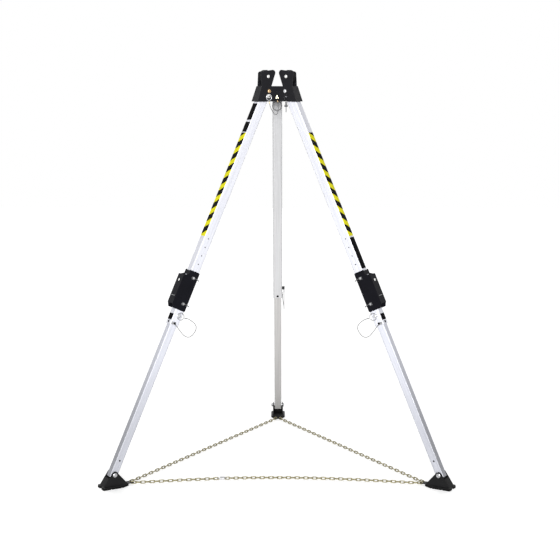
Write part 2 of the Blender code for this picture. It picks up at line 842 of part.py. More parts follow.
def wing_cutter(side, ear):
    """All that is outside one wing's outline, as a solid through that wing only."""
    far = 0.20
    high = 0.20
    top = [(-0.02, SKIRT_TOP)]
    if ear:
        top += ear_outline(*ear)
    if not ear or max(ear) < ARM_TOP:
        top.append((ARM_TOP, SKIRT_TOP))
    points = [
        *top,
        (ARM_BOTTOM, -SKIRT_BOTTOM),
        (ARM_BOTTOM + 0.004, -SKIRT_BOTTOM - 0.01),
        (far, -SKIRT_BOTTOM - 0.01),
        (far, high),
        (-0.02, high),
    ]
    middle = side * (HEAD_HALF - HEAD_PLATE / 2)
    return upright("cutter", points, HEAD_PLATE + 0.008, middle)


def turn_to(azimuth):
    return Matrix.Rotation(math.radians(azimuth), 4, "Z")


def head_plate(name, first_ear, second_ear, turn):
    """One bent plate: a valley with a wing on each of two arms, and an end face on the first arm."""
    first, second = ARMS["left"], ARMS["right"]

    def plan(azimuth, along, across):
        place = turn_to(azimuth) @ Vector((along, across, 0))
        return place.x, place.y

    outer_valley = -HEAD_HALF / math.cos(math.radians(30))
    inner_valley = -SHEET_INNER / math.cos(math.radians(30))
    reach = 0.15
    outline = [
        plan(first, reach, HEAD_HALF),
        (0, outer_valley),
        plan(second, reach, -HEAD_HALF),
        plan(second, reach, -SHEET_INNER),
        (0, inner_valley),
        plan(first, reach, SHEET_INNER),
    ]
    height = SKIRT_BOTTOM + EAR_TOP
    plate = prism(name, [outline], height)
    move(plate, Matrix.Translation((0, 0, EAR_TOP - height / 2)))
    for azimuth, side, ear in ((first, 1, first_ear), (second, -1, second_ear)):
        cut(plate, move(wing_cutter(side, ear), turn_to(azimuth)))
    join(plate, move(end_face(), turn_to(first)))
    for azimuth, ear in ((first, first_ear), (second, second_ear)):
        holes = [
            arm_rod(PIVOT_RADIUS, 0, PIVOT_BOLT_RADIUS + GAP),
            arm_rod(PIN_REACH, -PIN_DROP, LOCK_RADIUS + GAP),
        ]
        if ear:
            holes.append(arm_rod(AXLE_REACH, AXLE_HEIGHT, AXLE_RADIUS + GAP))
        cut(plate, *[move(hole, turn_to(azimuth)) for hole in holes])
    return move(plate, turn_to(turn))


def arm_rod(reach, height, radius):
    return rod("cutter", radius, (reach, -0.06, height), (reach, 0.06, height))


def end_face():
    """Closes an arm's end and is the stop that the spread leg leans on."""
    inset = 0.0006
    top = (ARM_TOP - inset, SKIRT_TOP - inset)
    bottom = (ARM_BOTTOM - inset, -SKIRT_BOTTOM + inset)
    outline = [top, bottom, (bottom[0] - END_PLATE, bottom[1]), (top[0] - END_PLATE, top[1])]
    low = -SHEET_INNER + GAP
    high = SHEET_INNER + HEAD_PLATE / 2
    return upright("end", outline, high - low, (low + high) / 2)


def anchor_plate(name):
    """A three-armed plate inside the skirt, with notches where the two winch cables pass."""
    half = SHEET_INNER - GAP
    valley = half / math.cos(math.radians(30))
    outline = []
    for azimuth in sorted(ARMS.values()):
        inner = turn_to(azimuth - 60) @ Vector((valley, 0, 0))
        low = turn_to(azimuth) @ Vector((ANCHOR_REACH, -half, 0))
        high = turn_to(azimuth) @ Vector((ANCHOR_REACH, half, 0))
        outline += [(inner.x, inner.y), (low.x, low.y), (high.x, high.y)]
    plate = prism(name, [outline], ANCHOR_PLATE)
    move(plate, Matrix.Translation((0, 0, -ANCHOR_TOP - ANCHOR_PLATE / 2)))
    cut(plate, rod("cutter", EYE_NECK + GAP, (0, 0, -0.06), (0, 0, 0), sides=16))
    for arm in ("left", "right"):
        centre = turn_to(ARMS[arm]) @ Vector((AXLE_REACH - SHEAVE_RADIUS + SHEAVE_GROOVE / 2, 0, 0))
        cut(plate, rod("cutter", CABLE_NOTCH, (centre.x, centre.y, -0.06), (centre.x, centre.y, 0), sides=16))
    return plate


def anchor_eye(name):
    """An eye bolt through the anchor plate, with its nut above."""
    under = -ANCHOR_TOP - ANCHOR_PLATE
    eye = rod(name, EYE_NECK, (0, 0, -ANCHOR_TOP + 0.012), (0, 0, under - EYE_NECK - EYE_WIRE / 2))
    join(eye, rod("collar", 0.010, (0, 0, under - GAP), (0, 0, under - 0.004), sides=16))
    join(eye, rod("nut", 0.0105, (0, 0, -ANCHOR_TOP + GAP), (0, 0, -ANCHOR_TOP + 0.009), sides=6))
    ring = torus("eye", EYE_RADIUS, EYE_WIRE, 14, 6)
    move(ring, Matrix.Translation((0, 0, -EYE_CENTRE)) @ Matrix.Rotation(math.pi / 2, 4, "Y"))
    return join(eye, ring)


def anchor_ring(name):
    ring = torus(name, RING_ANCHOR_RADIUS, RING_ANCHOR_WIRE, 20, 6)
    place = Matrix.Translation((0, 0, -RING_TOP - RING_ANCHOR_RADIUS))
    return move(ring, place @ Matrix.Rotation(math.pi / 2, 4, "X"))


def lanyard_lug(name):
    """A pressed lug across the front valley, which holds the head lock pins' lanyards."""
    valley = -HEAD_HALF / math.cos(math.radians(30))
    depth = LUG_WIDTH / 2 / math.tan(math.radians(60)) + GAP
    half = LUG_WIDTH / 2
    outline = [
        (half, -LUG_TOP - LUG_WIDTH),
        *arc((0, -LUG_TOP - 0.003), 0.003, 30, 150, 3),
        (-half, -LUG_TOP - LUG_WIDTH),
    ]
    lug = upright(name, outline, LUG_THICKNESS, valley - depth - LUG_THICKNESS / 2)
    middle = -LUG_TOP - LUG_WIDTH * 0.62
    return cut(lug, rod("cutter", 0.003, (0, valley - 0.02, middle), (0, valley + 0.01, middle)))


def sheave(name):
    """A grooved pulley with a long hub, turned about Z."""
    half = SHEAVE_WIDTH / 2
    groove = SHEAVE_RADIUS - SHEAVE_GROOVE
    hub_end = SHEET_INNER - 2 * GAP
    right = [
        (AXLE_RADIUS + GAP, hub_end),
        (SHEAVE_HUB, hub_end),
        (SHEAVE_HUB, half * 0.6),
        (SHEAVE_RADIUS, half),
        (groove, half * 0.25),
    ]
    return turned(name, right + [(radius, -height) for radius, height in reversed(right)], 24)


def sheave_axle(name):
    face = HEAD_HALF + GAP
    profile = [
        (0, face + 0.0045),
        (0.005, face + 0.004),
        (0.0085, face + 0.002),
        (0.0085, face),
        (AXLE_RADIUS, face),
        (AXLE_RADIUS, -face),
        (0.0095, -face),
        (0.0095, -face - 0.003),
        (0, -face - 0.004),
    ]
    return turned(name, profile, 16)


def across_arm(obj, reach, height, side=1):
    """Turns a piece made about Z so that it lies along an arm's pivot direction."""
    return move(
        obj,
        Matrix.Translation((reach, 0, height)) @ Matrix.Rotation(-side * math.pi / 2, 4, "X"),
    )


def pivot_bolt(name, side):
    """Bolt with a round head on the handle side, spacers beside the tube and a nut."""
    face = HEAD_HALF + GAP

    def along(radius, start, end, sides=SMALL_ROUND, end_radius=None):
        return rod(
            "bolt", radius, (PIVOT_RADIUS, side * start, 0), (PIVOT_RADIUS, side * end, 0), sides, end_radius
        )

    bolt = along(PIVOT_BOLT_RADIUS, -face - 0.012, face + 0.003)
    bolt.name = name
    join(
        bolt,
        along(BOLT_HEAD_RADIUS, face, face + BOLT_HEAD_HEIGHT, SMALL_ROUND, BOLT_HEAD_RADIUS * 0.7),
        along(BOLT_HEAD_RADIUS, -face, -face - 0.009, 6),
        along(0.0105, OUTER_HALF + GAP, SHEET_INNER - GAP),
        along(0.0105, -OUTER_HALF - GAP, -SHEET_INNER + GAP),
    )
    return bolt


def head_pin(name, side, seated=True):
    """A lock pin that ends inside the tube's near wall, with a knob and a pull ring."""
    length = HEAD_PIN_SHANK
    knob = 0.010
    shank = LOCK_RADIUS - GAP / 2
    profile = [
        (0, knob),
        (KNOB_RADIUS * 0.85, knob),
        (KNOB_RADIUS, 0),
        (shank, 0),
        (shank, -length),
        (shank - 0.002, -length - 0.003),
        (0, -length - 0.003),
    ]
    pin = turned(name, profile, SMALL_ROUND)
    ring = torus("ring", HEAD_RING_RADIUS, RING_WIRE, 16, 5)
    if seated:
        move(ring, Matrix.Translation((0, side * HEAD_RING_DROP, knob * 0.7)))
    else:
        upright_ring = Matrix.Rotation(math.pi / 2, 4, "Y")
        move(ring, Matrix.Translation((0, 0, knob * 0.5 + HEAD_RING_RADIUS)) @ upright_ring)
    return join(pin, ring)


# Chains, in the frame of the plumb line on the floor

def chain_hole(arm, side):
    """The middle of a tongue's chain hole, on the side that faces a neighbouring foot."""
    reach = FOOT_RADIUS - CHAIN_HOLE_REACH
    height = BASE_Z + BASE_PLATE / 2
    return turn_to(ARMS[arm]) @ Vector((reach, side * CHAIN_HOLE_APART / 2, height))


def run_points(start, end, bow, raised=None):
    """A fine run between two holes, bowed inward by a half sine wave, that sinks to the floor.

    It is also raised where the quick link is, at this share of its length.
    """
    rest = LINK_HALF_WIDTH + LINK_WIRE * LINK_THICKEN + GAP
    middle = (start + end) / 2
    inward = -Vector((middle.x, middle.y, 0)).normalized()
    length = (end - start).length
    points = []
    for step in range(241):
        u = step / 240
        place = start.lerp(end, u) + inward * bow * math.sin(math.pi * u)
        ends = max(0.0, 1 - min(u, 1 - u) * length / CHAIN_SETTLE)
        place.z = rest + (start.z - rest) * ends
        if raised is not None:
            near = max(0.0, 1 - abs(u - raised) * length / CHAIN_SETTLE)
            place.z = max(place.z, rest + (QUICK_LINK_HEIGHT - rest) * near)
        points.append(place)
    return points


def walk(points, spacing, start):
    """Points every so far along a fine run, as (place, direction), from the first one given."""
    places = []
    wanted = start
    run = 0.0
    for first, second in zip(points, points[1:]):
        step = (second - first).length
        while wanted <= run + step:
            places.append((first.lerp(second, (wanted - run) / step), (second - first).normalized()))
            wanted += spacing
        run += step
    return places


def run_length(points):
    return sum((second - first).length for first, second in zip(points, points[1:]))


def squared_path(half_length, half_width):
    """The centre line of a long link with squared ends."""
    return [
        (half_length, half_width),
        (-half_length, half_width),
        (-half_length, -half_width),
        (half_length, -half_width),
    ]


def oval_path(half_length, half_width):
    """The centre line of a link with rounded ends."""
    straight = half_length - half_width
    return [
        *arc((straight, 0), half_width, -90, 90, 4),
        *arc((-straight, 0), half_width, 90, 270, 4),
    ]


def link_mesh(name, path, radius, sides):
    """A closed link in XY: every corner of its centre line carries a ring of corners."""
    shape = bmesh.new()
    rings = []
    for index, (x, y) in enumerate(path):
        before = Vector(path[index - 1])
        after = Vector(path[(index + 1) % len(path)])
        here = Vector((x, y))
        mitre = ((here - before).normalized() - (after - here).normalized()).normalized()
        if mitre.dot(here) < 0:
            mitre = -mitre
        stretch = 1 / abs(mitre.dot(Vector(((after - here).y, -(after - here).x)).normalized()))
        ring = []
        for k in range(sides):
            angle = math.tau * k / sides
            out = mitre * math.cos(angle) * radius * stretch
            ring.append(shape.verts.new((x + out.x, y + out.y, math.sin(angle) * radius)))
        rings.append(ring)
    for first, second in zip(rings, rings[1:] + rings[:1]):
        for k in range(sides):
            shape.faces.new((first[k], second[k], second[(k + 1) % sides], first[(k + 1) % sides]))
    bmesh.ops.recalc_face_normals(shape, faces=shape.faces)
    return from_bmesh(name, shape)


def chain_links(name, places, half_length):
    """Links at the places given, upright and flat by turns, joined where they bear."""
    groups = [bmesh.new(), bmesh.new()]
    path = squared_path(half_length, LINK_HALF_WIDTH)
    pattern = link_mesh("link", path, LINK_WIRE * LINK_THICKEN, LINK_SIDES)
    for index, (place, direction) in enumerate(places):
        across = Vector((0, 0, 1)).cross(direction).normalized()
        upward = direction.cross(across)
        axes = Matrix((direction, across, upward)).transposed().to_4x4()
        roll = Matrix.Rotation(math.pi / 2 * (1 - index % 2), 4, "X")
        copy = pattern.data.copy()
        copy.transform(Matrix.Translation(place) @ axes @ roll)
        groups[index % 2].from_mesh(copy)
        bpy.data.meshes.remove(copy)
    bpy.data.objects.remove(pattern, do_unlink=True)
    odd, even = (from_bmesh(name, group) for group in groups)
    return join(odd, even)


def link_half_length():
    """Half the centre line of a link, so that each bears on the next by the bite."""
    flat = LINK_WIRE * LINK_THICKEN * math.cos(math.pi / LINK_SIDES)
    return (LINK_PITCH - LINK_BITE) / 2 + flat


def chain_run(name, points, start, end):
    """Links along part of a fine run, in an odd number so that both end links stand upright."""
    count = 2 * round(((end - start) / LINK_PITCH - 1) / 2) + 1
    pitch = (end - start) / count
    half = link_half_length() + (pitch - LINK_PITCH) / 2
    places = [item for item in walk(points, pitch, start + pitch / 2)][:count]
    return chain_links(name, places, half)


def side_chain(name, start_arm, end_arm):
    points = run_points(chain_hole(start_arm, -1), chain_hole(end_arm, 1), 0.0)
    length = run_length(points)
    print(f"{name}: {length:.3f} m long")
    return chain_run(name, points, 0.0, length)


def front_chains():
    """The bowed front chain in two runs, with the quick link that closes it between them."""
    points = run_points(chain_hole("left", 1), chain_hole("right", -1), CHAIN_BOW, QUICK_LINK_AT)
    length = run_length(points)
    middle = length * QUICK_LINK_AT
    reach = QUICK_LINK_LENGTH / 2 - 2.7 * QUICK_LINK_WIRE
    print(f"front_chain: {length:.3f} m long")
    short = chain_run("front_chain_short", points, 0.0, middle - reach)
    long = chain_run("front_chain_long", points, middle + reach, length)
    place, direction = walk(points, length, middle)[0]
    across = Vector((0, 0, 1)).cross(direction).normalized()
    axes = Matrix((direction, across, direction.cross(across))).transposed().to_4x4()
    quick = quick_link("quick_link")
    move(quick, Matrix.Translation(place) @ axes)
    return short, long, quick


def quick_link(name):
    """An oval screw link, with its sleeve on one long side."""
    half = QUICK_LINK_LENGTH / 2 - QUICK_LINK_WIRE
    oval = link_mesh(name, oval_path(half, QUICK_LINK_HALF_WIDTH), QUICK_LINK_WIRE, 6)
    y = -QUICK_LINK_HALF_WIDTH
    sleeve_rod = rod("sleeve", QUICK_LINK_WIRE * 1.5, (-0.008, y, 0), (0.008, y, 0), sides=6)
    return join(oval, sleeve_rod)


# Assembly

def build_leg(arm, root):
    """One leg with its tubes, bushes, lock pin, foot and, on the front legs, winch bracket."""
    side = HANDLE_SIDE[arm]
    place = (
        turn_to(ARMS[arm])
        @ Matrix.Translation((PIVOT_RADIUS, 0, PIVOT_HEIGHT))
        @ Matrix.Rotation(-SPLAY, 4, "Y")
    )
    leg = frame_empty("leg_frame_" + arm, place, root)
    tube = outer_tube("outer_tube_" + arm)
    if arm != "back":
        cut(tube, *bracket_holes(OUTER_SIZE))
    finish(tube, "outer_tube_" + arm, "aluminium", leg)
    finish(guide_bush("bush"), "guide_bush_" + arm, "black_plastic", leg)
    finish(inner_tube("inner"), "inner_tube_" + arm, "aluminium", leg)
    finish(slider("slider"), "inner_slider_" + arm, "white_plastic", leg)
    finish(lock_pin("pin", side), "leg_pin_" + arm, "steel", leg)
    finish(lanyard_tab("tab", side), "lanyard_tab_" + arm, "steel", leg)
    lanyard = wire("leg_lanyard_" + arm, lanyard_route(side), LANYARD_RADIUS)
    finish(lanyard, "leg_lanyard_" + arm, "wire", leg)
    if arm != "back":
        finish(bracket("bracket"), "winch_bracket_" + arm, "black_coat", leg)
        first = BRACKET_TOP + FASTENER_TOP
        for label, down in (("upper", first), ("lower", first + FASTENER_SPACING)):
            screw = bracket_fastener("screw", side, down)
            finish(screw, f"bracket_screw_{label}_{arm}", "steel", leg)
    foot_place = turn_to(ARMS[arm]) @ Matrix.Translation((FOOT_RADIUS, 0, 0))
    foot = frame_empty("foot_frame_" + arm, foot_place, root)
    finish(sole("sole"), "foot_sole_" + arm, "rubber", foot)
    finish(shoe("shoe"), "foot_shoe_" + arm, "black_coat", foot)
    finish(foot_bolt("bolt", side), "foot_bolt_" + arm, "steel", foot)


def build_head(root):
    head = frame_empty("head_frame", Matrix.Translation((0, 0, PIVOT_HEIGHT)), root)
    front, rear = EAR_FRONT, EAR_REAR
    finish(head_plate("front", front, front, 0), "head_plate_front", "black_coat", head)
    finish(head_plate("left", None, rear, -120), "head_plate_left", "black_coat", head)
    finish(head_plate("right", rear, None, 120), "head_plate_right", "black_coat", head)
    finish(anchor_plate("anchor"), "anchor_plate", "steel", head)
    finish(anchor_eye("eye"), "anchor_eye", "steel", head)
    finish(anchor_ring("ring"), "anchor_ring", "steel", head)
    finish(lanyard_lug("lug"), "lanyard_lug", "yellow_zinc", head)
    for arm in ARMS:
        bolt = pivot_bolt("bolt", HANDLE_SIDE[arm])
        finish(move(bolt, turn_to(ARMS[arm])), "pivot_bolt_" + arm, "yellow_zinc", head)
    for arm in ("left", "right"):
        turn = turn_to(ARMS[arm])
        wheel = across_arm(sheave("sheave"), AXLE_REACH, AXLE_HEIGHT)
        finish(move(wheel, turn), "sheave_" + arm, "black_plastic", head)
        axle = across_arm(sheave_axle("axle"), AXLE_REACH, AXLE_HEIGHT, HANDLE_SIDE[arm])
        finish(move(axle, turn), "sheave_axle_" + arm, "steel", head)
    build_head_pins(head)


def build_head_pins(head):
    """Two pins seated in their arms, and the right one hanging from its lanyard."""
    for arm in ("left", "back"):
        side = HANDLE_SIDE[arm]
        pin = head_pin("pin", side)
        seat = (
            turn_to(ARMS[arm])
            @ Matrix.Translation((PIN_REACH, side * (HEAD_HALF + GAP), -PIN_DROP))
            @ Matrix.Rotation(-side * math.pi / 2, 4, "X")
        )
        finish(move(pin, seat), "head_pin_" + arm, "steel", head)
    hanging = head_pin("pin", 1, seated=False)
    place = hanging_pin_place()
    finish(move(hanging, place), "head_pin_right", "steel", head)
    finish(wire("head_lanyard_left", left_lanyard_route(), LANYARD_RADIUS), "head_lanyard_left", "wire", head)
    right = wire("head_lanyard_right", right_lanyard_route(), LANYARD_RADIUS, 0.006)
    finish(right, "head_lanyard_right", "wire", head)


def hanging_pin_place():
    """The free pin hangs ring down beside the right arm's plate."""
    place = turn_to(ARMS["right"]) @ Vector((HANG_REACH, -(HEAD_HALF + HANG_STANDOFF), 0))
    drop = HANG_TOP + HEAD_PIN_SHANK + 0.003
    return Matrix.Translation((place.x, place.y, -drop)) @ Matrix.Rotation(math.pi, 4, "X")


def left_lanyard_route():
    """From the left pin's ring, down in a loop below the skirt and up to the lug."""
    turn = turn_to(ARMS["left"])
    start = turn @ Vector((PIN_REACH, HEAD_HALF + 0.0075, -PIN_DROP - HEAD_RING_DROP - HEAD_RING_RADIUS))
    lug = -HEAD_HALF / math.cos(math.radians(30)) - LUG_WIDTH / 3.4 - LUG_THICKNESS
    return [
        (start.x, start.y, start.z - RING_WIRE - GAP),
        (start.x + 0.004, start.y - 0.001, start.z - 0.020),
        (-0.034, lug - 0.012, -0.080),
        (-0.022, lug - 0.008, -0.104),
        (-0.008, lug - 0.006, -0.119),
        (0.002, lug - 0.005, -0.110),
        (0.006, lug - 0.005, -0.085),
        (0.004, lug - 0.005, -0.058),
        (0.001, lug - 0.004, -0.042),
    ]


def right_lanyard_route():
    """From the right arm's plate down to the tip of the hanging pin."""
    turn = turn_to(ARMS["right"])
    away = HEAD_HALF + LANYARD_RADIUS + GAP
    stations = [
        (PIN_REACH - 0.003, away, -PIN_DROP + 0.007),
        (PIN_REACH - 0.007, away + 0.002, -PIN_DROP - 0.006),
        (PIN_REACH - 0.004, away + 0.006, -PIN_DROP - 0.018),
        (HANG_REACH - 0.001, HEAD_HALF + HANG_STANDOFF, -HANG_TOP + 0.006),
        (HANG_REACH, HEAD_HALF + HANG_STANDOFF, -HANG_TOP + 3 * GAP),
    ]
    return [tuple(turn @ Vector((reach, -out, height))) for reach, out, height in stations]


def build_chains(floor):
    short, long, quick = front_chains()
    finish(short, "front_chain_short", "yellow_zinc", floor)
    finish(long, "front_chain_long", "yellow_zinc", floor)
    finish(quick, "quick_link", "steel", floor)
    finish(side_chain("left_chain", "left", "back"), "left_chain", "yellow_zinc", floor)
    finish(side_chain("right_chain", "back", "right"), "right_chain", "yellow_zinc", floor)


def main():
    clear_scene()
    root = frame_empty("tripod_frame", Matrix.Translation((0, -CENTRE_Y, 0)))
    build_head(root)
    for arm in ARMS:
        build_leg(arm, root)
    build_chains(root)
    print(f"splay {math.degrees(SPLAY):.2f} degrees, pivot to foot bolt {LEG_LENGTH:.4f} m")


main()
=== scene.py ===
"""A confined space tripod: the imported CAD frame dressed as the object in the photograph.

Every new surface is a grid of points worked out with numpy from two parameters, in metres. A
piece is described in the frame of its leg, arm or foot and put in place by that frame's matrix.
"""

from __future__ import annotations

import logging
import math
from dataclasses import dataclass
from enum import Enum

import bpy
import numpy as np
from mathutils import Matrix, Vector


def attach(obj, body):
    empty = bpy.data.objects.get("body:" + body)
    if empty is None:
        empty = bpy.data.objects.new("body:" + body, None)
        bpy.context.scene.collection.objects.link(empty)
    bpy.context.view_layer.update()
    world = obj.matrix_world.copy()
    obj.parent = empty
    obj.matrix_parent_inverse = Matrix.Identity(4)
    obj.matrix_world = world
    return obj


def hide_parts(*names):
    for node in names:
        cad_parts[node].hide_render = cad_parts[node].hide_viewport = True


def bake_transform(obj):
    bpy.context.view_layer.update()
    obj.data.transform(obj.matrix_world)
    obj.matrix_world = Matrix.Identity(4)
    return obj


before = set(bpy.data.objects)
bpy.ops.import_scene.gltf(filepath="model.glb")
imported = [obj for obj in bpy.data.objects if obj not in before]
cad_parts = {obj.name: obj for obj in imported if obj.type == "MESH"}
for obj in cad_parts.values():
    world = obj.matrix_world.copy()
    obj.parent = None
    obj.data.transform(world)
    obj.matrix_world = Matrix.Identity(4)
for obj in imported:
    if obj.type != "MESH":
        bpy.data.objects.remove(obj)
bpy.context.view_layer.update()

log = logging.getLogger("tripod")
Colour = tuple[float, float, float]
Place = tuple[float, float, float]
Point = tuple[float, float]

ROPE_RADIUS = 0.0013
CORNER_SHARE = 0.45
SHADE = 0.86
WELD = 0.00002
EDGE_ANGLE = 40.0
CURVE_STEPS = 24


# Where things are


@dataclass(frozen=True)
class Stance:
    """Where the legs stand and how they lean, as in the CAD."""

    foot_radius: float = 0.940
    bolt_height: float = 0.068
    pivot_radius: float = 0.066
    pivot_height: float = 1.946
    tube_offset: float = 0.006
    base_outboard: float = 0.066
    base_half: float = 0.041

    @property
    def length(self) -> float:
        """Distance along a leg from the pivot bolt to the foot bolt."""
        reach = self.foot_radius - self.pivot_radius
        return math.sqrt(reach**2 + (self.pivot_height - self.bolt_height) ** 2 - self.tube_offset**2)

    @property
    def splay(self) -> float:
        """Angle between a leg and the plumb line, in radians.

        Returns:
            The angle.
        """
        reach = self.foot_radius - self.pivot_radius
        chord = math.atan2(reach, self.pivot_height - self.bolt_height)
        return chord - math.atan2(self.tube_offset, self.length)

    @property
    def centre_y(self) -> float:
        """How far the plumb line of the head is in front of the middle of the footprint.

        Returns:
            The distance.
        """
        back = self.foot_radius + self.base_outboard
        front = back / 2 + self.base_half * math.cos(math.radians(30))
        return (back - front) / 2


STANCE = Stance()


class Arm(Enum):
    """The head's three arms, by the direction in which each leg points, in degrees."""

    LEFT = 210.0
    RIGHT = 330.0
    BACK = 90.0

    @property
    def tag(self) -> str:
        """The arm's name as the nodes end in it."""
        return self.name.lower()

    @property
    def side(self) -> int:
        """The side of the leg that its handles are on, along the leg frame's Y."""
        return 1 if self is Arm.LEFT else -1

    def plumb(self) -> Matrix:
        """Frame on the floor under the head, with X along the arm."""
        return shift(y=-STANCE.centre_y) @ spin(self.value, "Z")

    def head(self) -> Matrix:
        """Frame on the plumb line at the height of the pivot bolts."""
        return self.plumb() @ shift(z=STANCE.pivot_height)

    def leg(self) -> Matrix:
        """Frame at the pivot bolt, with X out of the leg's outer face and Z up the leg."""
        pivot = shift(STANCE.pivot_radius, z=STANCE.pivot_height)
        return self.plumb() @ pivot @ Matrix.Rotation(-STANCE.splay, 4, "Y")

    def foot(self) -> Matrix:
        """Frame on the floor under the foot bolt, with X outboard."""
        return self.plumb() @ shift(STANCE.foot_radius)


def shift(x: float = 0.0, y: float = 0.0, z: float = 0.0) -> Matrix:
    """A plain move."""
    return Matrix.Translation((x, y, z))


def spin(degrees: float, axis: str) -> Matrix:
    """A plain turn about X, Y or Z."""
    return Matrix.Rotation(math.radians(degrees), 4, axis)


def across(side: int) -> Matrix:
    """Turns what is made along Z to lie along Y, outward on the handle side."""
    return spin(-90 * side, "X")


# Surfaces of two parameters


def lifted(start: float, *points: Point) -> list[Point]:
    """A profile whose heights are given from a start."""
    return [(start + height, radius) for height, radius in points]


def sleeve(start: float, end: float, bore: float, rim: float) -> list[Point]:
    """The profile of a plain sleeve or washer between two heights."""
    return [(start, bore), (start, rim), (end, rim), (end, bore)]


def soften(profile: list[Point], radius: float) -> np.ndarray:
    """Rounds a profile's inner corners.

    A corner C with neighbours A and B becomes the three points C + r a, (C + r a + 2 C + C + r b) / 4
    and C + r b, where a and b point to A and B and r is at most 0.45 of the shorter edge.

    Args:
        profile: Points as (distance along the axis, radius).
        radius: Length that each corner is cut back by.

    Returns:
        The rounded profile.
    """
    points = np.asarray(profile, float)
    corner = points[1:-1]
    back, ahead = points[:-2] - corner, points[2:] - corner
    back_length = np.linalg.norm(back, axis=1, keepdims=True)
    ahead_length = np.linalg.norm(ahead, axis=1, keepdims=True)
    trim = np.minimum(radius, CORNER_SHARE * np.minimum(back_length, ahead_length))
    first = corner + back / back_length * trim
    last = corner + ahead / ahead_length * trim
    middle = (first + 2 * corner + last) / 4
    rounded = np.stack((first, middle, last), axis=1).reshape(-1, 2)
    return np.vstack((points[:1], rounded, points[-1:]))


def turned(profile: np.ndarray | list, sides: int) -> np.ndarray:
    """A turned surface: P(i, a) = (r_i cos a, r_i sin a, h_i).

    Args:
        profile: Points (h, r), along and away from the Z axis.
        sides: Steps of a round the axis.

    Returns:
        Grid of points, profile by sides.
    """
    points = np.asarray(profile, float)
    angle = np.linspace(0, math.tau, sides, endpoint=False)
    height = np.repeat(points[:, :1], sides, axis=1)
    x = points[:, 1:] * np.cos(angle)
    y = points[:, 1:] * np.sin(angle)
    return np.stack((x, y, height), axis=-1)


def knurled(grid: np.ndarray, rows: slice, ridges: int, depth: float) -> np.ndarray:
    """Ridges on some rows of a turned surface: the radius becomes r (1 + d cos(n a)).

    Args:
        grid: A turned surface.
        rows: The rows that get ridges.
        ridges: How many, n.
        depth: Share of the radius, d.

    Returns:
        The same grid, changed.
    """
    angle = np.linspace(0, math.tau, grid.shape[1], endpoint=False)
    grid[rows, :, :2] *= (1 + depth * np.cos(ridges * angle))[None, :, None]
    return grid


def hoop(radius: float, wire: float, around: int, sides: int) -> np.ndarray:
    """A ring in XY: P(a, b) = ((R + r cos b) cos a, (R + r cos b) sin a, r sin b).

    Args:
        radius: R, to the middle of the wire.
        wire: r, the wire's radius.
        around: Steps of a.
        sides: Steps of b.

    Returns:
        Grid of points, around by sides, which closes in both directions.
    """
    a = np.linspace(0, math.tau, around, endpoint=False)[:, None]
    b = np.linspace(0, math.tau, sides, endpoint=False)[None, :]
    out = radius + wire * np.cos(b)
    rise = wire * np.sin(b) + 0 * a
    return np.stack((out * np.cos(a), out * np.sin(a), rise), axis=-1)


def swept(
    path: np.ndarray, radius: float | np.ndarray, sides: int, beside: Place, closed: bool = False
) -> np.ndarray:
    """A round section carried along a path: P(i, a) = C_i + r_i (cos a N_i + sin a B_i).

    N_i is the direction beside crossed with the tangent T_i, and B_i is T_i crossed with N_i.

    Args:
        path: Centre points C.
        radius: r, one for all points or one for each.
        sides: Steps of a.
        beside: A direction that the path never follows.
        closed: Whether the path returns to its start.

    Returns:
        Grid of points, path by sides.
    """
    points = np.asarray(path, float)
    if closed:
        tangent = np.roll(points, -1, axis=0) - np.roll(points, 1, axis=0)
    else:
        tangent = np.gradient(points, axis=0)
    tangent = tangent / np.linalg.norm(tangent, axis=1, keepdims=True)
    normal = np.cross(np.asarray(beside, float), tangent)
    normal = normal / np.linalg.norm(normal, axis=1, keepdims=True)
    binormal = np.cross(tangent, normal)
    angle = np.linspace(0, math.tau, sides, endpoint=False)
    ring = np.cos(angle)[None, :, None] * normal[:, None] + np.sin(angle)[None, :, None] * binormal[:, None]
    size = np.broadcast_to(np.asarray(radius, float), (len(points),))
    return points[:, None] + size[:, None, None] * ring


def smooth_path(points: list[Place] | np.ndarray, count: int) -> np.ndarray:
    """A Catmull-Rom curve through points, resampled evenly along its length.

    Between P1 and P2 the curve is (2 P1 + (P2 - P0) t + (2 P0 - 5 P1 + 4 P2 - P3) t^2
    + (3 P1 - P0 - 3 P2 + P3) t^3) / 2, with the end points mirrored outward.

    Args:
        points: Points that it passes through.
        count: How many points to return.

    Returns:
        The evenly spaced points.
    """
    given = np.asarray(points, float)
    padded = np.vstack((2 * given[:1] - given[1:2], given, 2 * given[-1:] - given[-2:-1]))
    p0, p1, p2, p3 = padded[:-3, None], padded[1:-2, None], padded[2:-1, None], padded[3:, None]
    t = np.linspace(0, 1, CURVE_STEPS, endpoint=False)[None, :, None]
    bend = 2 * p0 - 5 * p1 + 4 * p2 - p3
    twist = 3 * p1 - p0 - 3 * p2 + p3
    fine = (2 * p1 + (p2 - p0) * t + bend * t**2 + twist * t**3) / 2
    line = np.vstack((fine.reshape(-1, 3), given[-1:]))
    return points_at(line, np.linspace(0, run_of(line), count))


def points_at(line: np.ndarray, distance: np.ndarray) -> np.ndarray:
    """Points at distances along a line: each coordinate is interpolated over the run length.

    Args:
        line: The line's points.
        distance: Distances from its start.

    Returns:
        One point for each distance.
    """
    step = np.linalg.norm(np.diff(line, axis=0), axis=1)
    run = np.concatenate(([0.0], np.cumsum(step)))
    return np.stack([np.interp(distance, run, line[:, axis]) for axis in range(3)], axis=1)


def run_of(points: np.ndarray) -> float:
    """Length of a line of points."""
    return float(np.linalg.norm(np.diff(points, axis=0), axis=1).sum())


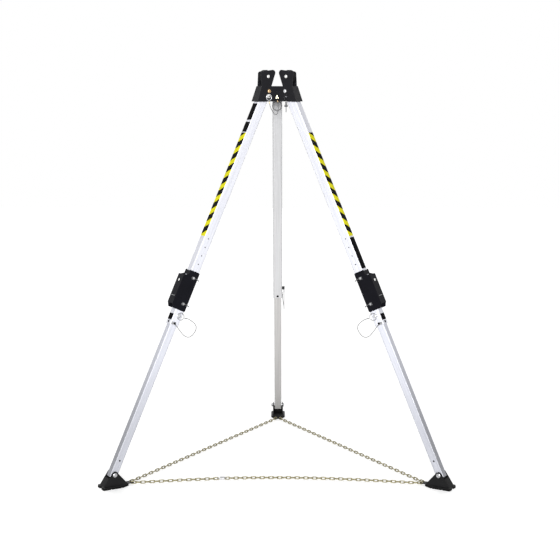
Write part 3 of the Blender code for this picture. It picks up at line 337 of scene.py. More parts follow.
def oval(half_length: float, half_width: float, steps: int) -> np.ndarray:
    """Half circles of radius w about (l - w, 0) and (w - l, 0), joined by two straights.

    Args:
        half_length: l, from the middle to either end.
        half_width: w, from the middle to either side.
        steps: Points on each half circle.

    Returns:
        Points in XY, in order round the oval.
    """
    angle = np.linspace(-math.pi / 2, math.pi / 2, steps)
    x = half_length - half_width + half_width * np.cos(angle)
    right = np.stack((x, half_width * np.sin(angle), 0 * angle), axis=-1)
    return np.vstack((right, -right))


def placed(points: np.ndarray, matrix: Matrix) -> np.ndarray:
    """Points carried by a matrix: P' = R P + T."""
    values = np.array(matrix)
    return points @ values[:3, :3].T + values[:3, 3]


class Shell:
    """Closed surfaces gathered into the mesh of one piece."""

    def __init__(self, name: str) -> None:
        """Starts an empty piece of that name.

        Args:
            name: The piece's name.
        """
        self.name = name
        self.points: list[np.ndarray] = []
        self.faces: list[np.ndarray] = []
        self.uvs: list[np.ndarray] = []
        self.slots: list[np.ndarray] = []
        self.count = 0

    def add(
        self, grid: np.ndarray, matrix: Matrix | None = None, closed: bool = False, slot: int = 0
    ) -> Shell:
        """Adds a grid whose second parameter runs round it, and closes its two ends with fans.

        The faces are turned outward by the sign of the volume, the sum of A . (B x C) / 6 over
        triangles ABC.

        Args:
            grid: Points, rows by sides.
            matrix: Where it goes in the row frame.
            closed: Whether the last row joins the first, which leaves no ends.
            slot: Index of its finish.

        Returns:
            This shell.
        """
        rows, sides = grid.shape[:2]
        points = grid.reshape(-1, 3)
        step = np.linalg.norm(np.diff(grid, axis=0), axis=-1).mean(axis=1)
        along = np.concatenate(([0.0], np.cumsum(step)))
        if closed:
            along = np.append(along, along[-1] + np.linalg.norm(grid[0] - grid[-1], axis=-1).mean())
        index = np.arange(rows * sides).reshape(rows, sides)
        ahead = np.roll(index, -1, axis=0)
        quads = np.stack((index, np.roll(index, -1, 1), np.roll(ahead, -1, 1), ahead), axis=-1)
        u = np.linspace(0, 1, sides + 1)
        reach = rows if closed else rows - 1
        left, right = np.tile(u[:-1], (reach, 1)), np.tile(u[1:], (reach, 1))
        low = np.repeat(along[:reach, None], sides, 1)
        high = np.repeat(along[1 : reach + 1, None], sides, 1)
        uv = np.stack((left, low, right, low, right, high, left, high), axis=-1).reshape(-1, 4, 2)
        groups = [(quads[:reach].reshape(-1, 4), uv)]
        if not closed:
            centres = np.stack((grid[0].mean(axis=0), grid[-1].mean(axis=0)))
            points = np.vstack((points, centres))
            first, last = index[0], index[-1]
            start = np.stack((np.full(sides, rows * sides), np.roll(first, -1), first), axis=-1)
            end = np.stack((np.full(sides, rows * sides + 1), last, np.roll(last, -1)), axis=-1)
            for fan, value in ((start, along[0]), (end, along[-1])):
                flat = np.stack((u[:-1], np.full(sides, value)), axis=-1)
                groups.append((fan, np.repeat(flat[:, None], 3, axis=1)))
        if matrix is not None:
            points = placed(points, matrix)
        volume = sum(self._volume(points, faces) for faces, _ in groups)
        for faces, values in groups:
            if volume < 0:
                faces, values = faces[:, ::-1], values[:, ::-1]
            self.faces.append(faces + self.count)
            self.uvs.append(values)
            self.slots.append(np.full(len(faces), slot))
        self.points.append(points)
        self.count += len(points)
        return self

    def lathe(
        self, profile: list[Point], sides: int, matrix: Matrix, cut: float = 0.0, slot: int = 0
    ) -> Shell:
        """Adds a turned profile.

        Args:
            profile: Points as (distance along the axis, radius).
            sides: Steps round the axis.
            matrix: Where it goes.
            cut: Length that its corners are cut back by, or 0 for none.
            slot: Index of its finish.

        Returns:
            This shell.
        """
        return self.add(turned(soften(profile, cut) if cut else profile, sides), matrix, slot=slot)

    def add_links(self, grid: np.ndarray, turns: np.ndarray, centres: np.ndarray) -> Shell:
        """Adds one closed surface at many places: P'(n, k) = R_n P(k) + C_n.

        Args:
            grid: A surface that closes in both directions.
            turns: Rotations R, one for each place.
            centres: Places C.

        Returns:
            This shell.
        """
        rows, sides = grid.shape[:2]
        flat = grid.reshape(-1, 3)
        points = np.einsum("nij,kj->nki", turns, flat) + centres[:, None]
        single = Shell("link").add(grid, closed=True)
        faces, uv = single.faces[0], single.uvs[0]
        offsets = np.arange(len(centres)) * rows * sides
        self.faces.append((faces[None] + offsets[:, None, None]).reshape(-1, 4) + self.count)
        self.uvs.append(np.tile(uv, (len(centres), 1, 1)))
        self.slots.append(np.zeros(len(centres) * len(faces), int))
        self.points.append(points.reshape(-1, 3))
        self.count += points.shape[0] * points.shape[1]
        return self

    @staticmethod
    def _volume(points: np.ndarray, faces: np.ndarray) -> float:
        """Six times the volume under some faces, each cut into triangles from its first corner.

        Args:
            points: The surface's points.
            faces: Corners of each face.

        Returns:
            The sum of A . (B x C).
        """
        a = points[faces[:, 0]]
        total = 0.0
        for k in range(1, faces.shape[1] - 1):
            normal = np.cross(points[faces[:, k]], points[faces[:, k + 1]])
            total += float(np.einsum("ij,ij->i", a, normal).sum())
        return total

    def piece(self, *finishes: bpy.types.Material, crease: float = 38.0) -> bpy.types.Object:
        """Makes the object.

        Args:
            finishes: Materials, in the order of the slots.
            crease: Angle in degrees above which an edge stays sharp.

        Returns:
            The object, at the origin.
        """
        mesh = bpy.data.meshes.new(self.name)
        faces = [face for group in self.faces for face in group.tolist()]
        mesh.from_pydata(np.vstack(self.points).tolist(), [], faces)
        layer = mesh.uv_layers.new(name="surface")
        layer.data.foreach_set("uv", np.concatenate([uv.reshape(-1) for uv in self.uvs]).astype(np.float32))
        mesh.polygons.foreach_set("material_index", np.concatenate(self.slots).astype(np.int32))
        mesh.polygons.foreach_set("use_smooth", np.ones(len(faces), bool))
        mesh.set_sharp_from_angle(angle=math.radians(crease))
        for finish in finishes:
            mesh.materials.append(finish)
        mesh.update()
        obj = bpy.data.objects.new(self.name, mesh)
        bpy.context.scene.collection.objects.link(obj)
        return obj


# Shader nodes


class Net:
    """Short calls for building one node tree."""

    def __init__(self, tree: bpy.types.NodeTree) -> None:
        """Works on that tree."""
        self.tree = tree

    def node(self, kind: str, **settings: object) -> bpy.types.Node:
        """Adds a shader node and sets its properties.

        Args:
            kind: Its type without the leading ShaderNode.
            settings: Values of its properties.

        Returns:
            The node.
        """
        made = self.tree.nodes.new("ShaderNode" + kind)
        for key, value in settings.items():
            setattr(made, key, value)
        return made

    def feed(self, socket: bpy.types.NodeSocket, value: object) -> None:
        """Links a socket, or sets the socket's value.

        Args:
            socket: The input.
            value: Another node's output, or a plain value.
        """
        if isinstance(value, bpy.types.NodeSocket):
            self.tree.links.new(value, socket)
        else:
            socket.default_value = value

    def group(self, tree: bpy.types.NodeTree, spot: object, **values: float) -> bpy.types.Node:
        """Places a shared group on some coordinates, and sets its other inputs.

        Args:
            tree: The group.
            spot: The pattern's coordinates.
            values: Values of the other inputs.

        Returns:
            The node.
        """
        made = self.node("Group", node_tree=tree)
        self.feed(made.inputs["Vector"], spot)
        for label, value in values.items():
            made.inputs[label].default_value = value
        return made

    def maths(self, operation: str, first: object, second: object = 0.0) -> bpy.types.NodeSocket:
        """One Math node.

        Args:
            operation: Its name in Blender.
            first: First input.
            second: Second input.

        Returns:
            The result.
        """
        made = self.node("Math", operation=operation)
        self.feed(made.inputs[0], first)
        self.feed(made.inputs[1], second)
        return made.outputs[0]

    def shares(self, first: object, second: object, share: float) -> bpy.types.NodeSocket:
        """The first value times its share, plus the second times what is left of one."""
        part = self.maths("MULTIPLY", first, share)
        return self.maths("ADD", part, self.maths("MULTIPLY", second, 1.0 - share))

    def span(
        self, value: object, low: float, high: float, to_low: float = 0.0, to_high: float = 1.0
    ) -> bpy.types.NodeSocket:
        """A clamped smooth change from one range of values to another.

        Args:
            value: What is changed.
            low: Start of its range.
            high: End of its range.
            to_low: Result at the start.
            to_high: Result at the end.

        Returns:
            The result.
        """
        made = self.node("MapRange", interpolation_type="SMOOTHSTEP", clamp=True)
        for socket, given in zip(made.inputs[:5], (value, low, high, to_low, to_high)):
            self.feed(socket, given)
        return made.outputs[0]

    def mix(self, factor: object, first: object, second: object) -> bpy.types.NodeSocket:
        """A blend of two colours.

        Args:
            factor: Share of the second.
            first: First colour.
            second: Second colour.

        Returns:
            The colour.
        """
        made = self.node("Mix", data_type="RGBA")
        self.feed(made.inputs["Factor"], factor)
        self.feed(made.inputs[6], self._opaque(first))
        self.feed(made.inputs[7], self._opaque(second))
        return made.outputs[2]

    @staticmethod
    def _opaque(colour: object) -> object:
        """A colour with its alpha, or the socket as given."""
        return (*colour, 1.0) if isinstance(colour, tuple) and len(colour) == 3 else colour

    def noise(self, vector: object, scale: object, detail: float, rough: float = 0.5) -> bpy.types.NodeSocket:
        """One Noise Texture's value.

        Args:
            vector: Coordinates.
            scale: How fine it is.
            detail: How many finer layers it has.
            rough: How strong those are.

        Returns:
            The value.
        """
        made = self.node("TexNoise")
        self.feed(made.inputs["Vector"], vector)
        self.feed(made.inputs["Scale"], scale)
        self.feed(made.inputs["Detail"], detail)
        self.feed(made.inputs["Roughness"], rough)
        return made.outputs["Fac"]

    def scaled(self, vector: object, scale: Place) -> bpy.types.NodeSocket:
        """A vector stretched along its axes by a Mapping node.

        Args:
            vector: Coordinates.
            scale: Factor for each axis.

        Returns:
            The stretched coordinates.
        """
        made = self.node("Mapping", vector_type="POINT")
        self.feed(made.inputs["Vector"], vector)
        made.inputs["Scale"].default_value = scale
        return made.outputs[0]


class Effects:
    """The node groups that the finishes share, each built once."""

    def __init__(self) -> None:
        """Builds every group."""
        self.grain = self._grain()
        self.wear = self._wear()
        self.drawn = self._drawn()
        self.strands = self._strands()

    @staticmethod
    def _group(name: str, inputs: dict[str, object], outputs: list[str]) -> tuple[Net, dict, object]:
        """Starts a node group.

        Args:
            name: The group's name.
            inputs: Default value of each input, with None for a vector.
            outputs: Names of the value outputs.

        Returns:
            The net, the input sockets by name and the output node.
        """
        tree = bpy.data.node_groups.new(name, "ShaderNodeTree")
        for label, value in inputs.items():
            kind = "NodeSocketVector" if value is None else "NodeSocketFloat"
            socket = tree.interface.new_socket(name=label, in_out="INPUT", socket_type=kind)
            if value is not None:
                socket.default_value = value
        for label in outputs:
            tree.interface.new_socket(name=label, in_out="OUTPUT", socket_type="NodeSocketFloat")
        net = Net(tree)
        entry = tree.nodes.new("NodeGroupInput")
        leave = tree.nodes.new("NodeGroupOutput")
        return net, {label: entry.outputs[label] for label in inputs}, leave

    def _grain(self) -> bpy.types.NodeTree:
        """Fine orange peel with broader mottling under it.

        Returns:
            The group.
        """
        net, given, leave = self._group("surface_grain", {"Vector": None, "Scale": 900.0}, ["Height", "Tone"])
        fine = net.noise(given["Vector"], given["Scale"], 3.0, 0.55)
        broad = net.noise(given["Vector"], net.maths("MULTIPLY", given["Scale"], 0.035), 2.0)
        net.feed(leave.inputs["Height"], fine)
        net.feed(leave.inputs["Tone"], net.shares(fine, broad, 0.35))
        return net.tree

    def _wear(self) -> bpy.types.NodeTree:
        """Scattered rubbed places and specks, more of them as the amount grows.

        Returns:
            The group.
        """
        inputs = {"Vector": None, "Scale": 40.0, "Amount": 0.3}
        net, given, leave = self._group("handling_wear", inputs, ["Mask"])
        patches = net.noise(given["Vector"], given["Scale"], 5.0, 0.65)
        specks = net.noise(given["Vector"], net.maths("MULTIPLY", given["Scale"], 9.0), 2.0, 0.6)
        both = net.shares(patches, specks, 0.7)
        edge = net.maths("SUBTRACT", 0.78, net.maths("MULTIPLY", given["Amount"], 0.5))
        net.feed(leave.inputs["Mask"], net.span(both, edge, net.maths("ADD", edge, 0.09)))
        return net.tree

    def _drawn(self) -> bpy.types.NodeTree:
        """Long fine lines that extrusion leaves along Z, and the odd scratch across them.

        Returns:
            The group.
        """
        net, given, leave = self._group("drawn_lines", {"Vector": None}, ["Height", "Tone"])
        lines = net.noise(net.scaled(given["Vector"], (1.0, 1.0, 0.006)), 1500.0, 3.0, 0.6)
        bands = net.noise(net.scaled(given["Vector"], (1.0, 1.0, 0.02)), 170.0, 2.0)
        net.feed(leave.inputs["Height"], lines)
        net.feed(leave.inputs["Tone"], net.shares(lines, bands, 0.4))
        return net.tree

    def _strands(self) -> bpy.types.NodeTree:
        """Six strands laid round a rope: the height is |sin(pi (6 u + v / lay))| on its own UV.

        Returns:
            The group.
        """
        net, given, leave = self._group("laid_strands", {"Vector": None, "Lay": 0.016}, ["Height"])
        parts = net.node("SeparateXYZ")
        net.feed(parts.inputs[0], given["Vector"])
        turn = net.maths("MULTIPLY", parts.outputs[0], 6.0)
        climb = net.maths("DIVIDE", parts.outputs[1], given["Lay"])
        phase = net.maths("MULTIPLY", net.maths("ADD", turn, climb), math.pi)
        net.feed(leave.inputs["Height"], net.maths("ABSOLUTE", net.maths("SINE", phase)))
        return net.tree


# Finishes


def darker(tone: Colour, share: float) -> Colour:
    """A tone with each channel at a share of itself."""
    return tuple(share * channel for channel in tone)


@dataclass(frozen=True)
class Finish:
    """A metal, coating, rubber or plastic, with its grain and its wear."""

    name: str
    tone: Colour
    worn: Colour
    metallic: float = 0.0
    gloss: tuple[float, float] = (0.4, 0.5)
    grain: float = 900.0
    relief: float = 0.00003
    wear: float = 0.25
    wear_scale: float = 40.0
    shine: float = 0.5
    rubbed: float = 0.08
    bump: float = 0.6

    def colour(self, net: Net, spot: object, mask: object, tone: object) -> object:
        """The base colour, mottled by the grain and mixed with the worn tone."""
        body = net.mix(net.span(tone, 0.35, 0.65), darker(self.tone, SHADE), self.tone)
        return net.mix(mask, body, self.worn)

    def surface(self, net: Net, effects: Effects, spot: object) -> tuple[object, object]:
        """Height and tone of the surface."""
        made = net.group(effects.grain, spot, Scale=self.grain)
        return made.outputs["Height"], made.outputs["Tone"]

    def coordinates(self, net: Net, turn: Matrix | None) -> object:
        """Object coordinates, turned into a leg's own frame where one is given.

        Args:
            net: The node tree being built.
            turn: The leg's frame, or None.

        Returns:
            The coordinates.
        """
        source = net.node("TexCoord").outputs["Object"]
        if turn is None:
            return source
        inverse = turn.inverted()
        made = net.node("Mapping", vector_type="POINT")
        net.feed(made.inputs["Vector"], source)
        made.inputs["Rotation"].default_value = inverse.to_euler()
        made.inputs["Location"].default_value = inverse.to_translation()
        return made.outputs[0]

    def build(self, effects: Effects, turn: Matrix | None = None, tag: str = "") -> bpy.types.Material:
        """Makes the material.

        Args:
            effects: The shared node groups.
            turn: Frame that the pattern lies in, or None for the row frame.
            tag: Added to the name where the finish is made once for each leg.

        Returns:
            The material.
        """
        material = bpy.data.materials.new(self.name + tag)
        material.use_nodes = True
        material.diffuse_color = (*self.tone, 1.0)
        net = Net(material.node_tree)
        shader = material.node_tree.nodes["Principled BSDF"]
        spot = self.coordinates(net, turn)
        mask = net.group(effects.wear, spot, Scale=self.wear_scale, Amount=self.wear).outputs["Mask"]
        height, tone = self.surface(net, effects, spot)
        net.feed(shader.inputs["Base Color"], self.colour(net, spot, mask, tone))
        shader.inputs["Metallic"].default_value = self.metallic
        shader.inputs["Specular IOR Level"].default_value = self.shine
        rough = net.span(tone, 0.3, 0.7, *self.gloss)
        rubbed = net.maths("MULTIPLY", mask, self.rubbed)
        net.feed(shader.inputs["Roughness"], net.maths("ADD", rough, rubbed))
        bump = net.node("Bump")
        bump.inputs["Strength"].default_value = self.bump
        bump.inputs["Distance"].default_value = self.relief
        net.feed(bump.inputs["Height"], height)
        net.feed(shader.inputs["Normal"], bump.outputs[0])
        return material


@dataclass(frozen=True)
class Coating(Finish):
    """A sprayed coat on steel."""

    gloss: tuple[float, float] = (0.36, 0.50)
    grain: float = 700.0
    relief: float = 0.00006
    wear: float = 0.22
    wear_scale: float = 30.0
    shine: float = 0.05


@dataclass(frozen=True)
class Plating(Finish):
    """Plated or bare steel."""

    grain: float = 1400.0
    relief: float = 0.00001
    wear: float = 0.30
    wear_scale: float = 90.0


@dataclass(frozen=True)
class DrawnMetal(Finish):
    """Extruded aluminium, with long lines down each tube, and painted shade that darkens it toward the foot
    and on its outer face.
    """

    # Strength of the painted shade, and the distances down the leg over which it grows; face is where the
    # outer face begins.
    dull: float = 0.0
    dull_from: float = 1.28
    dull_to: float = 2.02
    face: float = 0.022

    def colour(self, net: Net, spot: object, mask: object, tone: object) -> object:
        """The tone times (1 - d t)(1 - d o (0.5 + t)), for t down the leg and o on the outer face: painted
        shade of strength d.

        Args:
            net: The node tree being built.
            spot: The pattern's coordinates.
            mask: Where the surface is worn.
            tone: The grain's tone.

        Returns:
            The colour.
        """
        body = super().colour(net, spot, mask, tone)
        if not self.dull:
            return body
        # Painted shade: darker down the leg toward the foot, and darker still on the outer face.
        parts = net.node("SeparateXYZ")
        net.feed(parts.inputs[0], spot)
        down = net.span(net.maths("MULTIPLY", parts.outputs[2], -1.0), self.dull_from, self.dull_to)
        outer = net.span(parts.outputs[0], self.face, self.face + 0.003)
        side = net.maths("SUBTRACT", 1.0, net.maths("MULTIPLY", down, self.dull))
        reach = net.maths("MULTIPLY", outer, net.maths("MULTIPLY", net.maths("ADD", down, 0.5), self.dull))
        grey = net.maths("MULTIPLY", side, net.maths("SUBTRACT", 1.0, reach))
        return net.mix(grey, (0.0, 0.0, 0.0), body)

    def surface(self, net: Net, effects: Effects, spot: object) -> tuple[object, object]:
        """Height and tone of the lines that extrusion leaves."""
        made = net.group(effects.drawn, spot)
        return made.outputs["Height"], made.outputs["Tone"]


@dataclass(frozen=True)
class HazardTape(Finish):
    """Yellow and black slanted stripes, by distance down the leg and across its outer face."""

    stripe: Colour = (0.006, 0.006, 0.006)
    period: float = 0.0664
    yellow_share: float = 0.467
    first: float = 0.2406
    slope: float = 0.55
    half_width: float = 0.025
    side: int = 1

    def colour(self, net: Net, spot: object, mask: object, tone: object) -> object:
        """Yellow where the fraction of (s - s0 - k (w - side y)) / period is under the share.

        Args:
            net: The node tree being built.
            spot: The pattern's coordinates.
            mask: Where the surface is worn.
            tone: The grain's tone.

        Returns:
            The colour.
        """
        parts = net.node("SeparateXYZ")
        net.feed(parts.inputs[0], spot)
        outward = net.maths("MULTIPLY", parts.outputs[1], float(self.side))
        inward = net.maths("SUBTRACT", self.half_width, outward)
        slant = net.maths("ADD", net.maths("MULTIPLY", inward, self.slope), self.first)
        down = net.maths("SUBTRACT", net.maths("MULTIPLY", parts.outputs[2], -1.0), slant)
        phase = net.maths("FRACT", net.maths("DIVIDE", down, self.period))
        black = net.maths("GREATER_THAN", phase, self.yellow_share)
        body = super().colour(net, spot, mask, tone)
        return net.mix(black, body, self.stripe)


@dataclass(frozen=True)
class WireRope(Finish):
    """Laid steel wire, with its strands on the cord's own UV."""

    def coordinates(self, net: Net, turn: Matrix | None) -> object:
        """The cord's own UV, as round it and along it in metres."""
        return net.node("TexCoord").outputs["UV"]

    def surface(self, net: Net, effects: Effects, spot: object) -> tuple[object, object]:
        """Height and tone of the strands."""
        height = net.group(effects.strands, spot).outputs["Height"]
        return height, height


class Paint:
    """Every material of the tripod."""

    def __init__(self) -> None:
        """Builds the shared effects and the plain finishes."""
        self.effects = Effects()
        plain = (
            Coating("black_coat", (0.008, 0.008, 0.011), (0.028, 0.028, 0.032)),
            Coating(
                "head_coat", (0.015, 0.015, 0.018), (0.050, 0.050, 0.054), 0.0, (0.34, 0.48), wear=0.26,
                shine=0.09,
            ),
            Coating("shoe_coat", (0.015, 0.015, 0.0155), (0.020, 0.020, 0.022), 0.0, (0.40, 0.54), wear=0.24),
            Finish(
                "black_plastic", (0.007, 0.007, 0.008), (0.020, 0.020, 0.021), 0.0, (0.42, 0.55), 1200.0,
                wear=0.20, shine=0.12,
            ),
            Finish("pale_plastic", (0.72, 0.72, 0.70), (0.55, 0.54, 0.52), 0.0, (0.40, 0.52), 1000.0),
            Finish(
                "rubber", (0.006, 0.006, 0.006), (0.024, 0.023, 0.022), 0.0, (0.70, 0.85), 500.0, 0.00012,
                0.35, 55.0, shine=0.08,
            ),
            Plating("bright_zinc", (0.70, 0.71, 0.73), (0.50, 0.50, 0.50), 0.80, (0.20, 0.34), wear=0.25),
            Plating("grey_steel", (0.42, 0.42, 0.43), (0.26, 0.26, 0.26), 0.75, (0.30, 0.45), relief=0.00002),
            Plating(
                "dark_steel", (0.15, 0.15, 0.155), (0.08, 0.08, 0.08), 0.60, (0.34, 0.48), relief=0.00002,
                shine=0.3,
            ),
            Plating("gold_zinc", (0.58, 0.40, 0.22), (0.46, 0.34, 0.20), 0.60, (0.24, 0.38)),
            Plating("pale_zinc", (0.74, 0.70, 0.50), (0.60, 0.56, 0.40), 0.45, (0.28, 0.42), wear=0.25),
            Plating(
                "olive_zinc", (0.28, 0.25, 0.14), (0.13, 0.12, 0.07), 0.35, (0.30, 0.44), wear=0.40,
                wear_scale=60.0, shine=0.35,
            ),
            Plating(
                "axle_face", (0.88, 0.88, 0.86), (0.70, 0.70, 0.68), 0.20, (0.30, 0.42), wear=0.20,
                wear_scale=120.0,
            ),
            Finish(
                "dark_label", (0.005, 0.005, 0.006), (0.012, 0.012, 0.013), 0.0, (0.44, 0.56), 1600.0,
                0.00002, 0.24, 60.0, shine=0.01,
            ),
            WireRope(
                "wire_rope", (0.055, 0.055, 0.058), (0.03, 0.03, 0.03), 0.25, (0.40, 0.52), 900.0, 0.00025,
                0.10, 60.0, shine=0.15,
            ),
        )
        self.made = {finish.name: finish.build(self.effects) for finish in plain}

    def __getitem__(self, name: str) -> bpy.types.Material:
        """The material of that name."""
        return self.made[name]

    def for_leg(self, arm: Arm) -> dict[str, bpy.types.Material]:
        """The finishes whose pattern follows one leg.

        Args:
            arm: The leg's arm.

        Returns:
            Materials by the names tube, inner_tube and tape.
        """
        # The back leg's tubes take darker tones than the front legs': painted shade on the same aluminium,
        # whose seen faces turn away from the light.
        if arm is Arm.BACK:
            outer, inner = (0.66, 0.66, 0.67), (0.58, 0.57, 0.56)
        else:
            outer, inner = (0.85, 0.86, 0.93), (0.79, 0.805, 0.885)
        finishes = {
            "tube": DrawnMetal(
                "satin_aluminium", outer, darker(outer, SHADE), 0.05, (0.34, 0.48), relief=0.000015,
                wear=0.14, wear_scale=18.0,
            ),
            # The lower tube carries painted shade, darker toward the foot and on its outer face.
            "inner_tube": DrawnMetal(
                "plain_aluminium", inner, darker(inner, 0.80), 0.06, (0.28, 0.44), relief=0.000020, wear=0.24,
                wear_scale=14.0, dull=0.30,
            ),
            "tape": HazardTape(
                "hazard_tape", (0.98, 0.92, 0.03), (0.84, 0.76, 0.08), 0.0, (0.44, 0.56), relief=0.00002,
                wear=0.16, shine=0.02, side=arm.side,
            ),
        }
        return {name: item.build(self.effects, arm.leg(), "_" + arm.tag) for name, item in finishes.items()}


def dress(material: bpy.types.Material, *nodes: str, edge: float) -> None:
    """Gives CAD nodes their material and takes the sharpness off their edges.

    Args:
        material: The finish.
        nodes: The CAD nodes.
        edge: Width of the edge's bevel.
    """
    for name in nodes:
        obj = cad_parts[name]
        if not obj.material_slots:
            obj.data.materials.append(material)
        for slot in obj.material_slots:
            slot.material = material
        weld = obj.modifiers.new("weld", "WELD")
        weld.merge_threshold = WELD
        bevel = obj.modifiers.new("edge", "BEVEL")
        bevel.width = edge
        bevel.segments = 2
        bevel.limit_method = "ANGLE"
        bevel.angle_limit = math.radians(EDGE_ANGLE)
        obj.data.polygons.foreach_set("use_smooth", np.ones(len(obj.data.polygons), bool))
        normals = obj.modifiers.new("shading", "WEIGHTED_NORMAL")
        normals.weight = 100
        log.info("dressed %s in %s", name, material.name)


def seat(obj: bpy.types.Object, body: str, *nodes: str) -> bpy.types.Object:
    """Lets a piece ride on a body in place of CAD nodes.

    Args:
        obj: The piece.
        body: The body's name.
        nodes: The nodes that it stands for.

    Returns:
        The piece.
    """
    if nodes:
        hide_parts(*nodes)
    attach(obj, body)
    log.info("%s rides on %s", obj.name, body)
    return obj


# The camera, the light and the floor


@dataclass(frozen=True)
class Studio:
    """Camera, lamps, world and floor."""

    camera_place: Place = (0.0355, -6.9337, 1.979)
    pitch: float = 81.44
    heading: float = 0.0053
    lens: float = 83.494
    shift_x: float = 0.00506
    sensor: float = 36.0
    far: float = 60.0
    lamp_height: float = 4.0
    sun: float = 3.5
    fill: float = 0.10
    floor_lift: float = 0.66
    floor_drop: float = 0.0005

    def camera(self) -> None:
        """Makes the camera at the photograph's place and lens."""
        data = bpy.data.cameras.new("camera")
        data.lens = self.lens
        data.sensor_width = self.sensor
        data.shift_x = self.shift_x
        data.clip_end = self.far
        obj = bpy.data.objects.new("camera", data)
        obj.location = self.camera_place
        obj.rotation_euler = (math.radians(self.pitch), 0.0, self.heading)
        bpy.context.scene.collection.objects.link(obj)
        bpy.context.scene.camera = obj

    def lamps(self) -> None:
        """A broad key from the camera's side and above, and a weak lamp from behind."""
        for name, energy, width, aim in (
            ("key", self.sun, 24.0, (76.0, 0.0, -3.0)),
            ("rim", self.sun * 0.42, 40.0, (-48.0, 0.0, 12.0)),
        ):
            data = bpy.data.lights.new(name, "SUN")
            data.energy = energy
            data.angle = math.radians(width)
            obj = bpy.data.objects.new(name, data)
            obj.rotation_euler = tuple(math.radians(value) for value in aim)
            obj.location = (0.0, 0.0, self.lamp_height)
            bpy.context.scene.collection.objects.link(obj)

    @staticmethod
    def _seen(net: Net) -> bpy.types.NodeSocket:
        """One where a ray is seen by the camera, in gloss or through glass.

        Args:
            net: The node tree being built.

        Returns:
            The mask.
        """
        path = net.node("LightPath")
        either = net.maths("MAXIMUM", path.outputs["Is Camera Ray"], path.outputs["Is Glossy Ray"])
        return net.maths("MAXIMUM", either, path.outputs["Is Transmission Ray"])

    def world(self) -> None:
        """White behind everything, and a plain soft fill on the object."""
        world = bpy.data.worlds.new("studio")
        bpy.context.scene.world = world
        world.use_nodes = True
        net = Net(world.node_tree)
        sky = world.node_tree.nodes["Background"]
        sky.inputs["Color"].default_value = (1.0, 1.0, 1.0, 1.0)
        net.feed(sky.inputs["Strength"], net.span(self._seen(net), 0.0, 1.0, self.fill, 1.0))

    def floor(self) -> None:
        """A pale floor that glows only where it is seen, so that it keeps the shadow."""
        steps = 9
        x, y = np.meshgrid(np.linspace(-8, 8, steps), np.linspace(-6, 14, steps), indexing="ij")
        points = np.stack((x, y, np.full_like(x, -self.floor_drop)), axis=-1).reshape(-1, 3)
        index = np.arange(steps**2).reshape(steps, steps)
        corners = (index[:-1, :-1], index[1:, :-1], index[1:, 1:], index[:-1, 1:])
        quads = np.stack(corners, axis=-1).reshape(-1, 4)
        mesh = bpy.data.meshes.new("floor")
        mesh.from_pydata(points.tolist(), [], quads.tolist())
        obj = bpy.data.objects.new("floor", mesh)
        bpy.context.scene.collection.objects.link(obj)
        material = bpy.data.materials.new("floor")
        material.use_nodes = True
        net = Net(material.node_tree)
        shader = material.node_tree.nodes["Principled BSDF"]
        spot = net.node("TexCoord").outputs["Object"]
        tone = net.noise(spot, 3.0, 3.0)
        net.feed(shader.inputs["Base Color"], net.mix(tone, (0.54, 0.54, 0.54), (0.57, 0.57, 0.57)))
        shader.inputs["Roughness"].default_value = 0.8
        shader.inputs["Emission Color"].default_value = (1.0, 1.0, 1.0, 1.0)
        net.feed(shader.inputs["Emission Strength"], net.maths("MULTIPLY", self._seen(net), self.floor_lift))
        mesh.materials.append(material)

    def build(self) -> None:
        """Makes the lamps, the world and the floor."""
        self.lamps()
        self.world()
        self.floor()
        view = bpy.context.scene.view_settings
        view.view_transform = "Standard"


# The lanyards


@dataclass
class Lanyard:
    """A wire rope that keeps a pin on the tripod, with a crimped ferrule at each end."""

    name: str
    route: np.ndarray
    holder: str
    pin: str
    beside: Place
    blend_from: int
    blend_to: int
    radius: float = ROPE_RADIUS
    ferrule: float = 0.0024
    ferrule_length: float = 0.011
    ferrule_start: float = 0.004
    ferrule_needs: float = 0.08
    start_is_pin: bool = True
    ferrule_finish: str = "dark_steel"

    def build(self, paint: Paint, count: int) -> None:
        """Args:
            paint: The materials.
            count: Points along the rope.
        """
        fine = smooth_path(self.route, count * 3)
        surface = swept(fine, self.radius, 10, self.beside)
        rope = Shell(self.name + "_rope").add(surface).piece(paint["wire_rope"])
        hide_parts(self.name)
        ends = [self._ferrule(fine, start, paint) for start in (True, False)]
        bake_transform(rope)

    def _ferrule(self, fine: np.ndarray, at_start: bool, paint: Paint) -> bpy.types.Object | None:
        """A crimped sleeve near one end: a round section whose radius swells in the middle.

        Args:
            fine: The rope's fine path.
            at_start: Whether it is at the path's start.
            paint: The materials.

        Returns:
            The sleeve, or None on a rope too short for one.
        """
        if run_of(fine) < self.ferrule_needs:
            return None
        steps = 9
        wanted = np.linspace(self.ferrule_start, self.ferrule_start + self.ferrule_length, steps)
        path = points_at(fine if at_start else fine[::-1], wanted)
        u = np.linspace(0, 1, steps)
        swell = 0.70 + 0.30 * np.sin(math.pi * u) ** 0.35
        size = self.ferrule * swell - 0.0003 * np.cos(4 * math.pi * u) ** 2
        name = f"{self.name}_ferrule_{'start' if at_start else 'end'}"
        crimp = Shell(name).add(swept(path, size, 12, self.beside)).piece(paint[self.ferrule_finish])
        body = self.pin if at_start == self.start_is_pin else self.holder
        return seat(crimp, body)


# A leg


